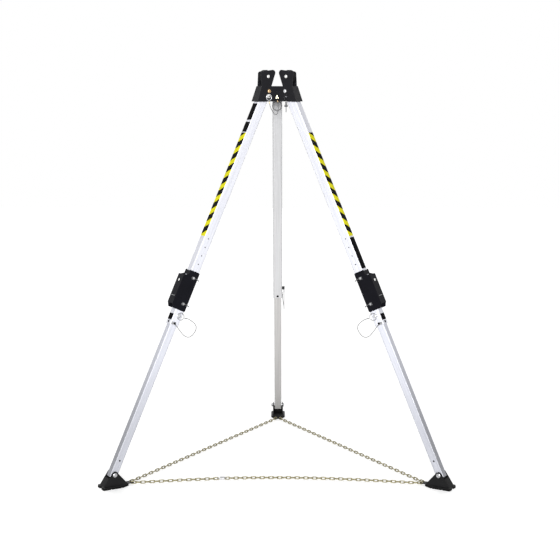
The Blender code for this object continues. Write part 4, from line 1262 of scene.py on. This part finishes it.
@dataclass
class Leg:
    """One telescoping leg: tubes, bushes, lock pin, tape, labels, foot and winch bracket."""

    arm: Arm
    half: float = 0.025
    corner: float = 0.006
    offset: float = 0.006
    lock_down: float = 1.224
    mouth: float = 1.278
    lock_radius: float = 0.0046
    ring_radius: float = 0.018
    ring_wire: float = 0.0019
    ring_drop: float = 0.011
    knob_length: float = 0.014
    gap: float = 0.0003
    screw_downs: tuple[float, float] = (1.022, 1.160)
    web_face: float = 0.0624
    bolt_down: float = 1.054
    slot_down: float = 1.136
    hole_radius: float = 0.0031
    hole_downs: tuple[float, ...] = (0.810, 0.856, 0.902, 0.948)
    inner_half: float = 0.020
    stow_radius: float = 0.0046
    stow_down: float = 1.998
    film_inside: float = 0.00003
    film_outside: float = 0.00030
    film_row: float = 0.05
    tape: tuple[float, float] = (0.242, 0.805)
    mouth_label: tuple[float, float] = (1.222, 1.255)
    button_up: float = 0.0125
    screw_stand: float = 0.0036
    lever_up: float = 0.006
    lever_length: float = 0.0335
    lever_drop: float = 0.004
    lever_hump: float = 0.0022
    lever_round: float = 0.86
    bar_half: float = 0.0176
    bar_wire: float = 0.0018
    bar_sunk: float = 0.0019

    @property
    def body(self) -> str:
        """The body of the outer tube."""
        return "upper_leg_" + self.arm.tag

    @property
    def ring_plane(self) -> float:
        """The leg frame's Y at which the pull ring hangs, three quarters along the knob."""
        return self.arm.side * (self.half + self.gap + self.knob_length * 0.75)

    def lanyard(self, paint: Paint) -> None:
        """The rope from the pull ring, out in a loop and back along the mouth to its tab.

        Args:
            paint: The materials.
        """
        side = self.arm.side
        plane = self.ring_plane
        near = side * (self.half + ROPE_RADIUS + 2 * self.gap)
        edge = -(self.ring_drop + self.ring_radius + self.ring_wire + ROPE_RADIUS + self.gap)
        lock, mouth = -self.lock_down, -self.mouth
        route = np.array([
            (edge, plane, lock),
            (edge - 0.022, plane, lock + 0.003),
            (edge - 0.050, plane, lock - 0.001),
            (edge - 0.075, plane, lock - 0.012),
            (edge - 0.085, plane, lock - 0.032),
            (edge - 0.079, plane, mouth - 0.008),
            (edge - 0.063, plane, mouth - 0.026),
            (edge - 0.038, plane, mouth - 0.028),
            (edge - 0.012, plane - side * 0.004, mouth - 0.016),
            (edge + 0.012, near + side * 0.001, mouth - 0.002),
            (0.25 * edge, near, mouth + 0.005),
            (self.half - 0.018 - self.gap, near, mouth + 0.0075),
        ])
        route[:, 0] += self.offset
        turn = self.arm.leg()
        beside = tuple(turn.to_3x3() @ Vector((0, 1, 0)))
        Lanyard(
            "leg_lanyard_" + self.arm.tag, placed(route, turn), self.body,
            "leg_pin_" + self.arm.tag, beside, 2, 20,
        ).build(paint, 32)

    def lock_pin(self, paint: Paint) -> None:
        """A pin with a ridged knob and a pull ring, its shank ended outside the sliding inner tube.

        Args:
            paint: The materials.
        """
        start = self.half + self.gap
        shank = [
            (0.0206, 0.0012), (0.0208, 0.0030), (0.0218, 0.0043), (0.0226, self.lock_radius),
            (start, self.lock_radius),
        ]
        knob = lifted(
            start, (0.0, 0.0040), (0.0, 0.0095), (0.0022, 0.0095), (0.0026, 0.0082), (0.0042, 0.0082),
            (0.0046, 0.0094), (0.0124, 0.0090), (0.0140, 0.0070), (0.0136, 0.0030),
        )
        place = self.arm.leg() @ shift(self.offset, 0, -self.lock_down)
        turn = place @ across(self.arm.side)
        shell = Shell("lock_pin_" + self.arm.tag).lathe(shank, 20, turn)
        shell.add(knurled(turned(soften(knob, 0.0006), 60), slice(14, 19), 15, 0.035), turn, slot=1)
        ring = hoop(self.ring_radius, self.ring_wire, 56, 12)
        shell.add(ring, place @ shift(-self.ring_drop, self.ring_plane) @ spin(90, "X"), closed=True)
        knob_finish = "black_plastic" if self.arm is Arm.BACK else "bright_zinc"
        ring_finish = "dark_steel" if self.arm is Arm.BACK else "grey_steel"
        name = "leg_pin_" + self.arm.tag
        seat(shell.piece(paint[ring_finish], paint[knob_finish]), name, name)

    def band(
        self, name: str, start: float, end: float, material: bpy.types.Material, wrap: float = 40.0
    ) -> None:
        """A thin film on the outer face, carried down the leg and lapped round both its corners.

        Its section is the flat face between two arcs of radius c + h, from y = -(w - c) to w - c,
        out to the wrap angle, at h = 0.03 mm inside and 0.3 mm outside.

        Args:
            name: The piece's name.
            start: Distance down the leg where it starts.
            end: Distance down the leg where it ends.
            material: Its finish.
            wrap: How far it laps round each corner, in degrees.
        """
        flat = self.half - self.corner
        angle = np.radians(np.linspace(0, wrap, 5))

        def line(lift: float) -> np.ndarray:
            """The section's line at one height over the tube."""
            y = flat + (self.corner + lift) * np.sin(angle)
            x = flat + (self.corner + lift) * np.cos(angle)
            right = np.stack((x, y), axis=-1)
            left = np.stack((x, -y), axis=-1)[::-1]
            return np.vstack((left, right))

        section = np.vstack((line(self.film_outside), line(self.film_inside)[::-1]))
        rows = np.linspace(-start, -end, max(2, round((end - start) / self.film_row)))
        grid = np.empty((len(rows), len(section), 3))
        grid[..., 0] = section[None, :, 0] + self.offset
        grid[..., 1] = section[None, :, 1]
        grid[..., 2] = rows[:, None]
        seat(Shell(name).add(grid, self.arm.leg()).piece(material, crease=60.0), self.body)

    def labels(self, paint: Paint, finishes: dict[str, bpy.types.Material]) -> None:
        """The striped tape and the bare dark labels on the outer face.

        Args:
            paint: The materials.
            finishes: The finishes whose pattern follows this leg.
        """
        tag = self.arm.tag
        self.band("hazard_tape_" + tag, *self.tape, finishes["tape"])
        self.band("mouth_label_" + tag, *self.mouth_label, paint["dark_label"], 25.0)
        if self.arm is Arm.LEFT:
            self.band("top_label_left", 0.082, 0.172, paint["dark_label"])
            self.band("second_label_left", 0.183, 0.238, paint["dark_label"])
        if self.arm is Arm.RIGHT:
            self.band("long_label_right", 0.812, 0.980, paint["dark_label"])

    def buttons(self, paint: Paint) -> None:
        """The bush's domed black buttons on the outer and inner faces.

        Args:
            paint: The materials.
        """
        profile = [(-0.0006, 0.0050), (-0.0006, 0.0066), (0.0008, 0.0066), (0.0014, 0.0052), (0.0016, 0.0010)]
        shell = Shell("bush_buttons_" + self.arm.tag)
        for sign in (1, -1):
            place = shift(self.offset + sign * self.half, 0, -self.mouth + self.button_up)
            shell.lathe(profile, 28, self.arm.leg() @ place @ spin(90 * sign, "Y"), 0.0004)
        seat(shell.piece(paint["black_plastic"]), self.body)

    def holes(self, paint: Paint) -> None:
        """Dark dished plugs in the tubes' open holes: painted shade that stands for the dark inside of each
        hole.

        Args:
            paint: The materials.
        """
        for label, body, half, radius, downs in (
            ("outer", self.body, self.half, self.hole_radius, self.hole_downs),
            ("inner", "lower_leg_" + self.arm.tag, self.inner_half, self.stow_radius, (self.stow_down,)),
        ):
            shell = Shell(f"{label}_holes_{self.arm.tag}")
            # A black dish in each hole: painted shade for the dark inside of the tube.
            shade_dish = [
                (-0.0024, 0.0004), (-0.0024, radius), (-0.0005, radius), (-0.0006, 0.86 * radius),
                (-0.0016, 0.0006),
            ]
            for down in downs:
                for sign in (-1, 1):
                    place = self.arm.leg() @ shift(self.offset, sign * half, -down) @ across(sign)
                    shell.lathe(shade_dish, 24, place)
            seat(shell.piece(paint["black_plastic"]), body)

    def tubes(self, paint: Paint, finishes: dict[str, bpy.types.Material]) -> None:
        """Dresses the tubes, the bush, the slider and the lanyard's tab.

        Args:
            paint: The materials.
            finishes: The finishes whose pattern follows this leg.
        """
        tag = self.arm.tag
        dress(finishes["tube"], "outer_tube_" + tag, edge=0.0004)
        dress(finishes["inner_tube"], "inner_tube_" + tag, edge=0.0004)
        dress(paint["black_plastic"], "guide_bush_" + tag, edge=0.0003)
        dress(paint["pale_plastic"], "inner_slider_" + tag, edge=0.0005)
        dress(paint["grey_steel"], "lanyard_tab_" + tag, edge=0.0003)

    def bracket(self, paint: Paint) -> None:
        """Dresses the winch bracket and makes its two hand screws.

        A screw's lever runs along (-l u, y, h sin(pi u) - d u), u from 0 to 1, and widens to a round tip.

        Args:
            paint: The materials.
        """
        tag, side = self.arm.tag, self.arm.side
        dress(paint["black_coat"], "winch_bracket_" + tag, edge=0.0007)
        start = self.half + self.screw_stand
        shank = [(0.0218, 0.0020), (0.0222, 0.0037), (start, 0.0037)]
        pad = sleeve(start - 0.0001, start + 0.0008, 0.0040, 0.0108)
        knob = lifted(
            start, (0.0, 0.0030), (0.0, 0.0050), (0.0010, 0.0060), (0.0085, 0.0058), (0.0100, 0.0042),
            (0.0098, 0.0015),
        )
        u = np.linspace(0, 1, 15)
        y = side * (start + self.lever_up) + 0 * u
        z = -self.lever_drop * u + self.lever_hump * np.sin(math.pi * u)
        lever = np.stack((-self.lever_length * u, y, z), axis=-1)
        tip = np.clip(1 - ((u - self.lever_round) / 0.1401) ** 2, 0.12, 1)
        size = 0.0017 + 0.0009 * u**2 * np.sqrt(np.where(u > self.lever_round, tip, 1.0))
        for label, down in zip(("upper", "lower"), self.screw_downs):
            place = self.arm.leg() @ shift(self.offset, 0, -down)
            turn = place @ across(side)
            shell = Shell(f"hand_screw_{label}_{tag}").lathe(shank, 16, turn, slot=1)
            shell.lathe(pad, 4, turn @ spin(45, "Z"), slot=1)
            shell.add(knurled(turned(soften(knob, 0.0006), 48), slice(7, 11), 12, 0.03), turn)
            shell.add(swept(lever, size, 12, (0, 1, 0)), place, slot=1)
            name = f"bracket_screw_{label}_{tag}"
            seat(shell.piece(paint["grey_steel"], paint["dark_steel"]), name, name)
        self.web_fittings(paint)

    def web_fittings(self, paint: Paint) -> None:
        """The bright bolt end in the web's hole and the bar that lies across its slot.

        Args:
            paint: The materials.
        """
        place = self.arm.leg()
        bolt = [
            (-0.0028, 0.0015), (-0.0028, 0.0051), (0.0002, 0.0051), (0.0002, 0.0068), (0.0016, 0.0066),
            (0.0030, 0.0040), (0.0033, 0.0006),
        ]
        x, z = self.web_face - self.bar_sunk, -self.slot_down
        bar = np.array([(x, -self.bar_half, z), (x, self.bar_half, z)])
        bolt_place = place @ shift(self.web_face, 0, -self.bolt_down) @ spin(90, "Y")
        shell = Shell("web_fittings_" + self.arm.tag).lathe(bolt, 28, bolt_place, 0.0005)
        shell.add(swept(bar, self.bar_wire, 12, (0, 0, 1)), place, slot=1)
        seat(shell.piece(paint["axle_face"], paint["grey_steel"]), self.body)

    def foot(self, paint: Paint) -> None:
        """Dresses the shoe and sole, and makes the foot bolt with its nut, spacers and domed head.

        Args:
            paint: The materials.
        """
        tag = self.arm.tag
        dress(paint["shoe_coat"], "foot_shoe_" + tag, edge=0.0007)
        dress(paint["rubber"], "foot_sole_" + tag, edge=0.0010)
        place = self.arm.foot() @ shift(z=STANCE.bolt_height) @ across(self.arm.side)
        shank = [(-0.0412, 0.0030), (-0.0400, 0.0055), (-0.0385, 0.0059), (0.0300, 0.0059)]
        head = [
            (0.0299, 0.0080), (0.0299, 0.0115), (0.0312, 0.0118), (0.0340, 0.0108), (0.0356, 0.0075),
            (0.0362, 0.0030), (0.0350, 0.0020), (0.0350, 0.0004),
        ]
        nut = [
            (-0.0388, 0.0085), (-0.0388, 0.0093), (-0.0376, 0.0105), (-0.0324, 0.0105), (-0.0313, 0.0096),
            (-0.0313, 0.0085),
        ]
        shell = Shell("foot_bolt_piece_" + tag).lathe(shank, 24, place).lathe(head, 36, place, 0.0005)
        shell.lathe(sleeve(-0.0312, -0.0299, 0.0065, 0.0112), 32, place, 0.0003).lathe(nut, 6, place)
        for sign in (-1, 1):
            shell.lathe(sleeve(sign * 0.0204, sign * 0.0252, 0.0062, 0.0098), 24, place, 0.0003)
        seat(shell.piece(paint["grey_steel"]), "lower_leg_" + tag, "foot_bolt_" + tag)

    def build(self, paint: Paint) -> None:
        """Makes and dresses the whole leg.

        Args:
            paint: The materials.
        """
        finishes = paint.for_leg(self.arm)
        self.tubes(paint, finishes)
        self.labels(paint, finishes)
        self.lock_pin(paint)
        self.holes(paint)
        self.buttons(paint)
        self.foot(paint)
        if self.arm is not Arm.BACK:
            self.bracket(paint)
        log.info("leg %s is built", self.arm.tag)


# The head


@dataclass
class Head:
    """The head's plates, bolts, sheaves, pins, eye and ring."""

    half: float = 0.034
    gap: float = 0.0003
    pin_reach: float = 0.071
    pin_drop: float = 0.026
    shank: float = 0.013
    ring_radius: float = 0.0150
    ring_wire: float = 0.0019
    ring_drop: float = 0.0050
    hang_reach: float = 0.078
    hang_top: float = 0.053
    hang_off: float = 0.010
    axle_reach: float = 0.071
    axle_height: float = 0.073
    sheave_radius: float = 0.033
    eye_centre: float = 0.049
    anchor_radius: float = 0.0235
    anchor_wire: float = 0.0026
    eye_radius: float = 0.009
    eye_wire: float = 0.0032
    lug_out: float = 0.008

    def left_lanyard(self, paint: Paint) -> None:
        """From the left pin's ring, down in a loop below the skirt and up to the lug.

        Args:
            paint: The materials.
        """
        low = -self.pin_drop - self.ring_drop - self.ring_radius
        start = spin(Arm.LEFT.value, "Z") @ Vector((self.pin_reach, self.half + 0.0075, low))
        lug = -self.half / math.cos(math.radians(30)) - self.lug_out
        route = np.array([
            (start.x, start.y, start.z - self.ring_wire - self.gap),
            (start.x + 0.004, start.y - 0.001, start.z - 0.020),
            (-0.034, lug - 0.012, -0.080),
            (-0.022, lug - 0.008, -0.104),
            (-0.008, lug - 0.006, -0.119),
            (0.002, lug - 0.005, -0.110),
            (0.006, lug - 0.005, -0.085),
            (0.004, lug - 0.005, -0.058),
            (0.001, lug - 0.004, -0.042),
        ])
        route += (0.0, -STANCE.centre_y, STANCE.pivot_height)
        Lanyard(
            "head_lanyard_left", route, "head", "head_pin_left", (0.0, 1.0, 0.0), 1, 18,
            ferrule_finish="gold_zinc",
        ).build(paint, 24)

    def right_lanyard(self, paint: Paint) -> None:
        """From the right arm's plate down to the tip of the hanging pin.

        Args:
            paint: The materials.
        """
        away = self.half + ROPE_RADIUS + self.gap
        stations = np.array([
            (self.pin_reach - 0.003, -away, -self.pin_drop + 0.007),
            (self.pin_reach - 0.007, -away - 0.002, -self.pin_drop - 0.006),
            (self.pin_reach - 0.004, -away - 0.006, -self.pin_drop - 0.018),
            (self.hang_reach - 0.001, -self.half - self.hang_off, -self.hang_top + 0.006),
            (self.hang_reach, -self.half - self.hang_off, -self.hang_top + 3 * self.gap),
        ])
        beside = tuple(Arm.RIGHT.head().to_3x3() @ Vector((0, 1, 0)))
        Lanyard(
            "head_lanyard_right", placed(stations, Arm.RIGHT.head()), "head", "head_pin_right", beside,
            2, 14, start_is_pin=False,
        ).build(paint, 15)

    def pin(self, paint: Paint, arm: Arm) -> None:
        """A lock pin turned about its own axis, with a flanged knob and its pull ring.

        Args:
            paint: The materials.
            arm: The head's arm that it is on.
        """
        tag, side = arm.tag, arm.side
        shank = [(-0.0158, 0.0016), (-0.0150, 0.0034), (-0.0130, 0.00475), (0.0, 0.00475)]
        knob = [
            (0.0002, 0.0045), (0.0002, 0.0095), (0.0020, 0.0097), (0.0026, 0.0080), (0.0046, 0.0080),
            (0.0050, 0.0088), (0.0090, 0.0085), (0.0100, 0.0070), (0.0100, 0.0042), (0.0082, 0.0036),
            (0.0082, 0.0006),
        ]
        ring = hoop(self.ring_radius, self.ring_wire, 48, 12)
        if arm is Arm.RIGHT:
            drop = self.hang_top + self.shank + 0.003
            place = arm.head() @ shift(self.hang_reach, -(self.half + self.hang_off), -drop)
            place = place @ (spin(-arm.value, "Z") @ spin(180, "X"))
            ring_place = shift(0, 0, 0.005 + self.ring_radius) @ spin(90, "Y")
        else:
            out = side * (self.half + self.gap)
            place = arm.head() @ shift(self.pin_reach, out, -self.pin_drop) @ across(side)
            ring_place = shift(0, side * self.ring_drop, 0.007)
        shell = Shell("head_pin_piece_" + tag).lathe(shank, 20, place).lathe(knob, 36, place, 0.0006, slot=1)
        shell.add(ring, place @ ring_place, closed=True)
        finishes = ["dark_steel", "dark_steel"]
        if arm is not Arm.RIGHT:
            shell.lathe([(0.0080, 0.0038), (0.0087, 0.0038), (0.0089, 0.0006)], 20, place, slot=2)
            finishes = ["bright_zinc", "axle_face", "black_plastic"]
        seat(shell.piece(*(paint[name] for name in finishes)), "head_pin_" + tag, "head_pin_" + tag)

    def pivot_bolt(self, paint: Paint, arm: Arm) -> None:
        """A domed cap screw through the arm, with a recess, spacers beside the tube and a lock nut.

        Args:
            paint: The materials.
            arm: The head's arm that it is on.
        """
        face = self.half + self.gap
        place = arm.head() @ shift(STANCE.pivot_radius) @ across(arm.side)
        shank = [(-face - 0.0115, 0.0040), (-face - 0.0105, 0.0058), (face, 0.0058)]
        head = lifted(
            face, (0.0, 0.0070), (0.0, 0.0098), (0.0015, 0.0100), (0.0044, 0.0088), (0.0060, 0.0062),
            (0.0060, 0.0038), (0.0036, 0.0034), (0.0036, 0.0005),
        )
        nut = lifted(
            -face, (-0.0090, 0.0080), (-0.0090, 0.0088), (-0.0078, 0.0100), (-0.0012, 0.0100),
            (0.0, 0.0092), (0.0, 0.0080),
        )
        shell = Shell("pivot_bolt_piece_" + arm.tag).lathe(shank, 24, place)
        shell.lathe(head, 36, place, 0.0005).lathe(nut, 6, place)
        for sign in (-1, 1):
            shell.lathe(sleeve(sign * 0.0254, sign * 0.0286, 0.0062, 0.0104), 24, place, 0.0003)
        finish = "gold_zinc" if arm is Arm.LEFT else "bright_zinc"
        seat(shell.piece(paint[finish]), "head", "pivot_bolt_" + arm.tag)

    def sheave(self, paint: Paint, arm: Arm) -> None:
        """A pulley: one closed profile of rim, U groove, hollowed web and hub turned about its axle.

        Args:
            paint: The materials.
            arm: The head's arm that it is on.
        """
        place = arm.head() @ shift(self.axle_reach, 0, self.axle_height) @ across(arm.side)
        rim = self.sheave_radius
        half = [
            (0.0282, 0.0069), (0.0282, 0.0112), (0.0270, 0.0118), (0.0100, 0.0118), (0.0066, 0.0130),
            (0.0060, 0.0150), (0.0060, 0.0232), (0.0070, 0.0252), (0.0092, 0.0262), (0.0100, 0.0272),
            (0.0100, rim - 0.0010), (0.0090, rim), (0.0076, rim - 0.0004), (0.0050, rim - 0.0038),
            (0.0024, rim - 0.0050),
        ]
        profile = half + [(-height, radius) for height, radius in reversed(half)]
        shell = Shell("sheave_piece_" + arm.tag)
        shell.add(turned(profile, 64), place, closed=True)
        seat(shell.piece(paint["black_plastic"], crease=50.0), "sheave_" + arm.tag, "sheave_" + arm.tag)

    def axle(self, paint: Paint, arm: Arm) -> None:
        """The sheave's axle: a turned rod with a pale domed end outside each plate.

        Args:
            paint: The materials.
            arm: The head's arm that it is on.
        """
        place = arm.head() @ shift(self.axle_reach, 0, self.axle_height) @ across(arm.side)
        face = self.half + self.gap
        rod = [(-face, 0.0063), (face, 0.0063)]
        near = lifted(
            face, (0.0, 0.0060), (0.0, 0.0082), (0.0018, 0.0083), (0.0036, 0.0060), (0.0043, 0.0014)
        )
        far = lifted(
            -face, (0.0, 0.0060), (0.0, 0.0093), (-0.0026, 0.0093), (-0.0036, 0.0070), (-0.0038, 0.0010)
        )
        shell = Shell("axle_piece_" + arm.tag).lathe(rod, 24, place, slot=1)
        shell.lathe(near, 32, place, 0.0007).lathe(far, 32, place, 0.0005)
        seat(shell.piece(paint["axle_face"], paint["grey_steel"]), "head", "sheave_axle_" + arm.tag)

    def anchor(self, paint: Paint) -> None:
        """The eye bolt with its collar and nut, and the ring that hangs in the eye.

        Args:
            paint: The materials.
        """
        place = Arm.BACK.head() @ spin(-90, "Z")
        shank = [(-0.0430, 0.0050), (-0.0400, 0.0059), (-0.0150, 0.0059), (-0.0141, 0.0048)]
        collar = [
            (-0.0381, 0.0060), (-0.0381, 0.0092), (-0.0366, 0.0100), (-0.0343, 0.0100), (-0.0343, 0.0060)
        ]
        nut = [
            (-0.0257, 0.0090), (-0.0257, 0.0096), (-0.0246, 0.0105), (-0.0184, 0.0105), (-0.0172, 0.0096),
            (-0.0172, 0.0090),
        ]
        shell = Shell("anchor_eye_piece").lathe(shank, 24, place)
        shell.lathe(collar, 32, place, 0.0006).lathe(nut, 6, place)
        eye = hoop(self.eye_radius, self.eye_wire, 40, 14)
        shell.add(eye, place @ shift(z=-self.eye_centre) @ spin(90, "Y"), closed=True)
        seat(shell.piece(paint["dark_steel"]), "head", "anchor_eye")
        top = self.eye_centre + self.eye_radius - self.eye_wire - self.anchor_wire - self.gap
        ring = Shell("anchor_ring_piece")
        ring.add(
            hoop(self.anchor_radius, self.anchor_wire, 72, 14),
            place @ shift(z=-top - self.anchor_radius) @ spin(90, "X"), closed=True,
        )
        seat(ring.piece(paint["dark_steel"]), "anchor_ring", "anchor_ring")

    def build(self, paint: Paint) -> None:
        """Makes and dresses the whole head.

        Args:
            paint: The materials.
        """
        dress(paint["head_coat"], "head_plate_front", "head_plate_left", "head_plate_right", edge=0.0008)
        dress(paint["grey_steel"], "anchor_plate", edge=0.0005)
        dress(paint["pale_zinc"], "lanyard_lug", edge=0.0004)
        for arm in Arm:
            self.pivot_bolt(paint, arm)
            self.pin(paint, arm)
            if arm is not Arm.BACK:
                self.sheave(paint, arm)
                self.axle(paint, arm)
        self.anchor(paint)
        log.info("the head is built")


# The chain


@dataclass
class Chain:
    """The chain round the feet, its links flat and upright by turns, and the quick link in it."""

    pitch: float = 0.0220
    side_pitch: float = 0.0270
    wire: float = 0.0026
    half_width: float = 0.0056
    lift: float = 0.00319
    gap: float = 0.0003
    settle: float = 0.060
    bow: float = 0.090
    hole_back: float = 0.096
    hole_apart: float = 0.018
    hole_height: float = 0.0108
    quick_at: float = 0.31
    quick_length: float = 0.048
    quick_half_width: float = 0.0085
    quick_wire: float = 0.0026
    quick_height: float = 0.0100
    quick_lean: float = 50.0
    quick_overlap: float = 2.7
    side_roll: float = -32.0
    near_foot: float = 0.075
    near_slide: float = 0.40
    line_points: int = 241
    look_ahead: float = 0.005

    def hole(self, arm: Arm, side: int) -> np.ndarray:
        """The middle of a tongue's chain hole, on the side that faces a neighbour."""
        place = Vector((STANCE.foot_radius - self.hole_back, side * self.hole_apart / 2, self.hole_height))
        return np.array(arm.plumb() @ place)

    def line(self, start: np.ndarray, end: np.ndarray, bow: float, raised: float | None) -> np.ndarray:
        """A run between two holes: P(u) = A + (B - A) u + b sin(pi u) N, at a height that settles.

        N points to the plumb line. The height goes from the hole's to the resting height over the
        settling length, and up a little at the quick link.

        Args:
            start: A, the first hole.
            end: B, the second hole.
            bow: b, how far the middle is pulled inward.
            raised: Share of the run at which the quick link is, or None.

        Returns:
            Points along the run.
        """
        rest = self.half_width + self.lift + self.gap
        middle = (start + end) / 2 + (0.0, STANCE.centre_y, 0.0)
        inward = -np.array((middle[0], middle[1], 0.0)) / np.hypot(middle[0], middle[1])
        u = np.linspace(0, 1, self.line_points)[:, None]
        points = start + (end - start) * u + inward * bow * np.sin(math.pi * u)
        length = float(np.linalg.norm(end - start))
        ends = np.clip(1 - np.minimum(u, 1 - u) * length / self.settle, 0, 1)[:, 0]
        height = rest + (start[2] - rest) * ends
        if raised is not None:
            near = np.clip(1 - np.abs(u - raised) * length / self.settle, 0, 1)[:, 0]
            height = np.maximum(height, rest + (self.quick_height - rest) * near)
        points[:, 2] = height
        return points

    def link(self, half_length: float) -> np.ndarray:
        """One link: a round section carried round an oval."""
        return swept(oval(half_length, self.half_width, 6), self.wire, 6, (0, 0, 1), closed=True)

    def run(
        self, name: str, points: np.ndarray, start: float, end: float, wanted_pitch: float, roll: float = 0.0
    ) -> tuple[np.ndarray, np.ndarray, float]:
        """Where the links of part of a run go, in an odd number so that both end links are upright.

        Args:
            name: The CAD node that they stand for, used in the log.
            points: The whole run.
            start: Distance along it of the first link's end.
            end: Distance along it of the last link's end.
            wanted_pitch: About how far apart the links are.
            roll: How far every link is rolled about the run, in degrees.

        Returns:
            The links' rotations, centres and pitch.
        """
        count = 2 * round(((end - start) / wanted_pitch - 1) / 2) + 1
        pitch = (end - start) / count
        wanted = start + pitch * (np.arange(count) + 0.5)
        centres = points_at(points, wanted)
        ahead = points_at(points, wanted + pitch / 2) - points_at(points, wanted - pitch / 2)
        ahead /= np.linalg.norm(ahead, axis=1, keepdims=True)
        sideways = np.cross((0.0, 0.0, 1.0), ahead)
        sideways /= np.linalg.norm(sideways, axis=1, keepdims=True)
        upward = np.cross(ahead, sideways)
        cosine, sine = math.cos(math.radians(roll)), math.sin(math.radians(roll))
        sideways, upward = cosine * sideways + sine * upward, cosine * upward - sine * sideways
        flat = (np.arange(count) % 2 == 1)[:, None]
        second = np.where(flat, sideways, upward)
        third = np.where(flat, upward, -sideways)
        log.info("%s: %d links at %.2f mm", name, count, pitch * 1000)
        return np.stack((ahead, second, third), axis=-1), centres, pitch

    def pieces(
        self,
        paint: Paint,
        node: str,
        turns: np.ndarray,
        centres: np.ndarray,
        pitch: float,
        start_arm: Arm | None,
        end_arm: Arm | None,
    ) -> None:
        """Splits a run's links into pieces by their distance from the foot at each end, as shoe, slide and
        fold; the pieces stay where they are made.

        Args:
            paint: The materials.
            node: The CAD node that they stand for.
            turns: The links' rotations.
            centres: The links' centres.
            pitch: The links' pitch.
            start_arm: The arm whose foot the run starts at, or None where it starts elsewhere.
            end_arm: The arm whose foot the run ends at, or None where it ends elsewhere.
        """
        grid = self.link(pitch / 2 + self.wire)
        total = len(centres)
        split = total // 2 if start_arm and end_arm else (total if start_arm else 0)
        for arm, low, high in ((start_arm, 0, split), (end_arm, split, total)):
            if arm is None or high <= low:
                continue
            order = np.arange(low, high)
            if arm is end_arm:
                order = order[::-1]
            distance = (np.arange(len(order)) + 0.5) * pitch
            tag = arm.tag
            zones = (
                ("shoe", "lower_leg_" + tag, "foot_" + tag, 0.0, self.near_foot),
                ("slide", "upper_leg_" + tag, "lower_leg_" + tag, self.near_foot, self.near_slide),
                ("fold", "head", "upper_leg_" + tag, self.near_slide, math.inf),
            )
            for label, far_body, near_body, near, far in zones:
                chosen = order[(distance >= near) & (distance < far)]
                if not len(chosen):
                    continue
                shell = Shell(f"{node}_{tag}_{label}").add_links(grid, turns[chosen], centres[chosen])
                obj = shell.piece(paint["olive_zinc"], crease=80.0)
                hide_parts(node)
                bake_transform(obj)
                log.info("%s: %d links between %s and %s", obj.name, len(chosen), far_body, near_body)

    def quick_link(self, paint: Paint, points: np.ndarray, middle: float) -> None:
        """An oval of thicker wire with a six-sided screw sleeve on one long side.

        Args:
            paint: The materials.
            points: The front chain's line.
            middle: Distance along it to the link's middle.
        """
        centre, beyond = points_at(points, np.array((middle, middle + self.look_ahead)))
        ahead = (Vector(beyond) - Vector(centre)).normalized()
        sideways = Vector((0, 0, 1)).cross(ahead).normalized()
        axes = Matrix((ahead, sideways, ahead.cross(sideways))).transposed().to_4x4()
        place = shift(*centre) @ axes @ spin(-self.quick_lean, "X")
        path = oval(self.quick_length / 2 - self.quick_wire, self.quick_half_width, 14)
        shell = Shell("quick_link_piece")
        shell.add(swept(path, self.quick_wire, 12, (0, 0, 1), closed=True), place, closed=True)
        barrel = [(-0.0085, 0.0032), (-0.0080, 0.0040), (0.0080, 0.0040), (0.0085, 0.0032)]
        beside = shift(0, -self.quick_half_width, 0) @ spin(90, "Y")
        shell.lathe(barrel, 6, place @ beside)
        thread = [(0.0085 + 0.0007 * k, 0.00285 + 0.00025 * (k % 2)) for k in range(8)]
        shell.lathe(thread, 16, place @ beside)
        obj = shell.piece(paint["grey_steel"])
        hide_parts("quick_link")
        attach(obj, "head")

    def build(self, paint: Paint) -> None:
        """Makes the two side chains, and the bowed front chain in two runs with its quick link.

        Args:
            paint: The materials.
        """
        for node, first, second in (("left_chain", Arm.LEFT, Arm.BACK), ("right_chain", Arm.BACK, Arm.RIGHT)):
            points = self.line(self.hole(first, -1), self.hole(second, 1), 0.0, None)
            links = self.run(node, points, 0.0, run_of(points), self.side_pitch, self.side_roll)
            self.pieces(paint, node, *links, first, second)
        points = self.line(self.hole(Arm.LEFT, 1), self.hole(Arm.RIGHT, -1), self.bow, self.quick_at)
        length = run_of(points)
        middle = length * self.quick_at
        reach = self.quick_length / 2 - self.quick_overlap * self.quick_wire
        short = self.run("front_chain_short", points, 0.0, middle - reach, self.pitch)
        self.pieces(paint, "front_chain_short", *short, Arm.LEFT, None)
        long = self.run("front_chain_long", points, middle + reach, length, self.pitch)
        self.pieces(paint, "front_chain_long", *long, None, Arm.RIGHT)
        self.quick_link(paint, points, middle)
        log.info("the chain is built")


def plain(box: object) -> list[list[float]]:
    """A box as plain lists of numbers."""
    return [[float(value) for value in corner] for corner in box]


def main() -> None:
    """Builds the camera and the cords, then the rest of the tripod and the studio."""
    logging.basicConfig(level=logging.INFO, format="%(message)s")
    studio = Studio()
    studio.camera()
    paint = Paint()
    legs = [Leg(arm) for arm in Arm]
    head = Head()
    for leg in legs:
        leg.lanyard(paint)
    head.left_lanyard(paint)
    head.right_lanyard(paint)
    head.build(paint)
    for leg in legs:
        leg.build(paint)
    Chain().build(paint)
    studio.build()


if __name__ == "__main__":
    main()
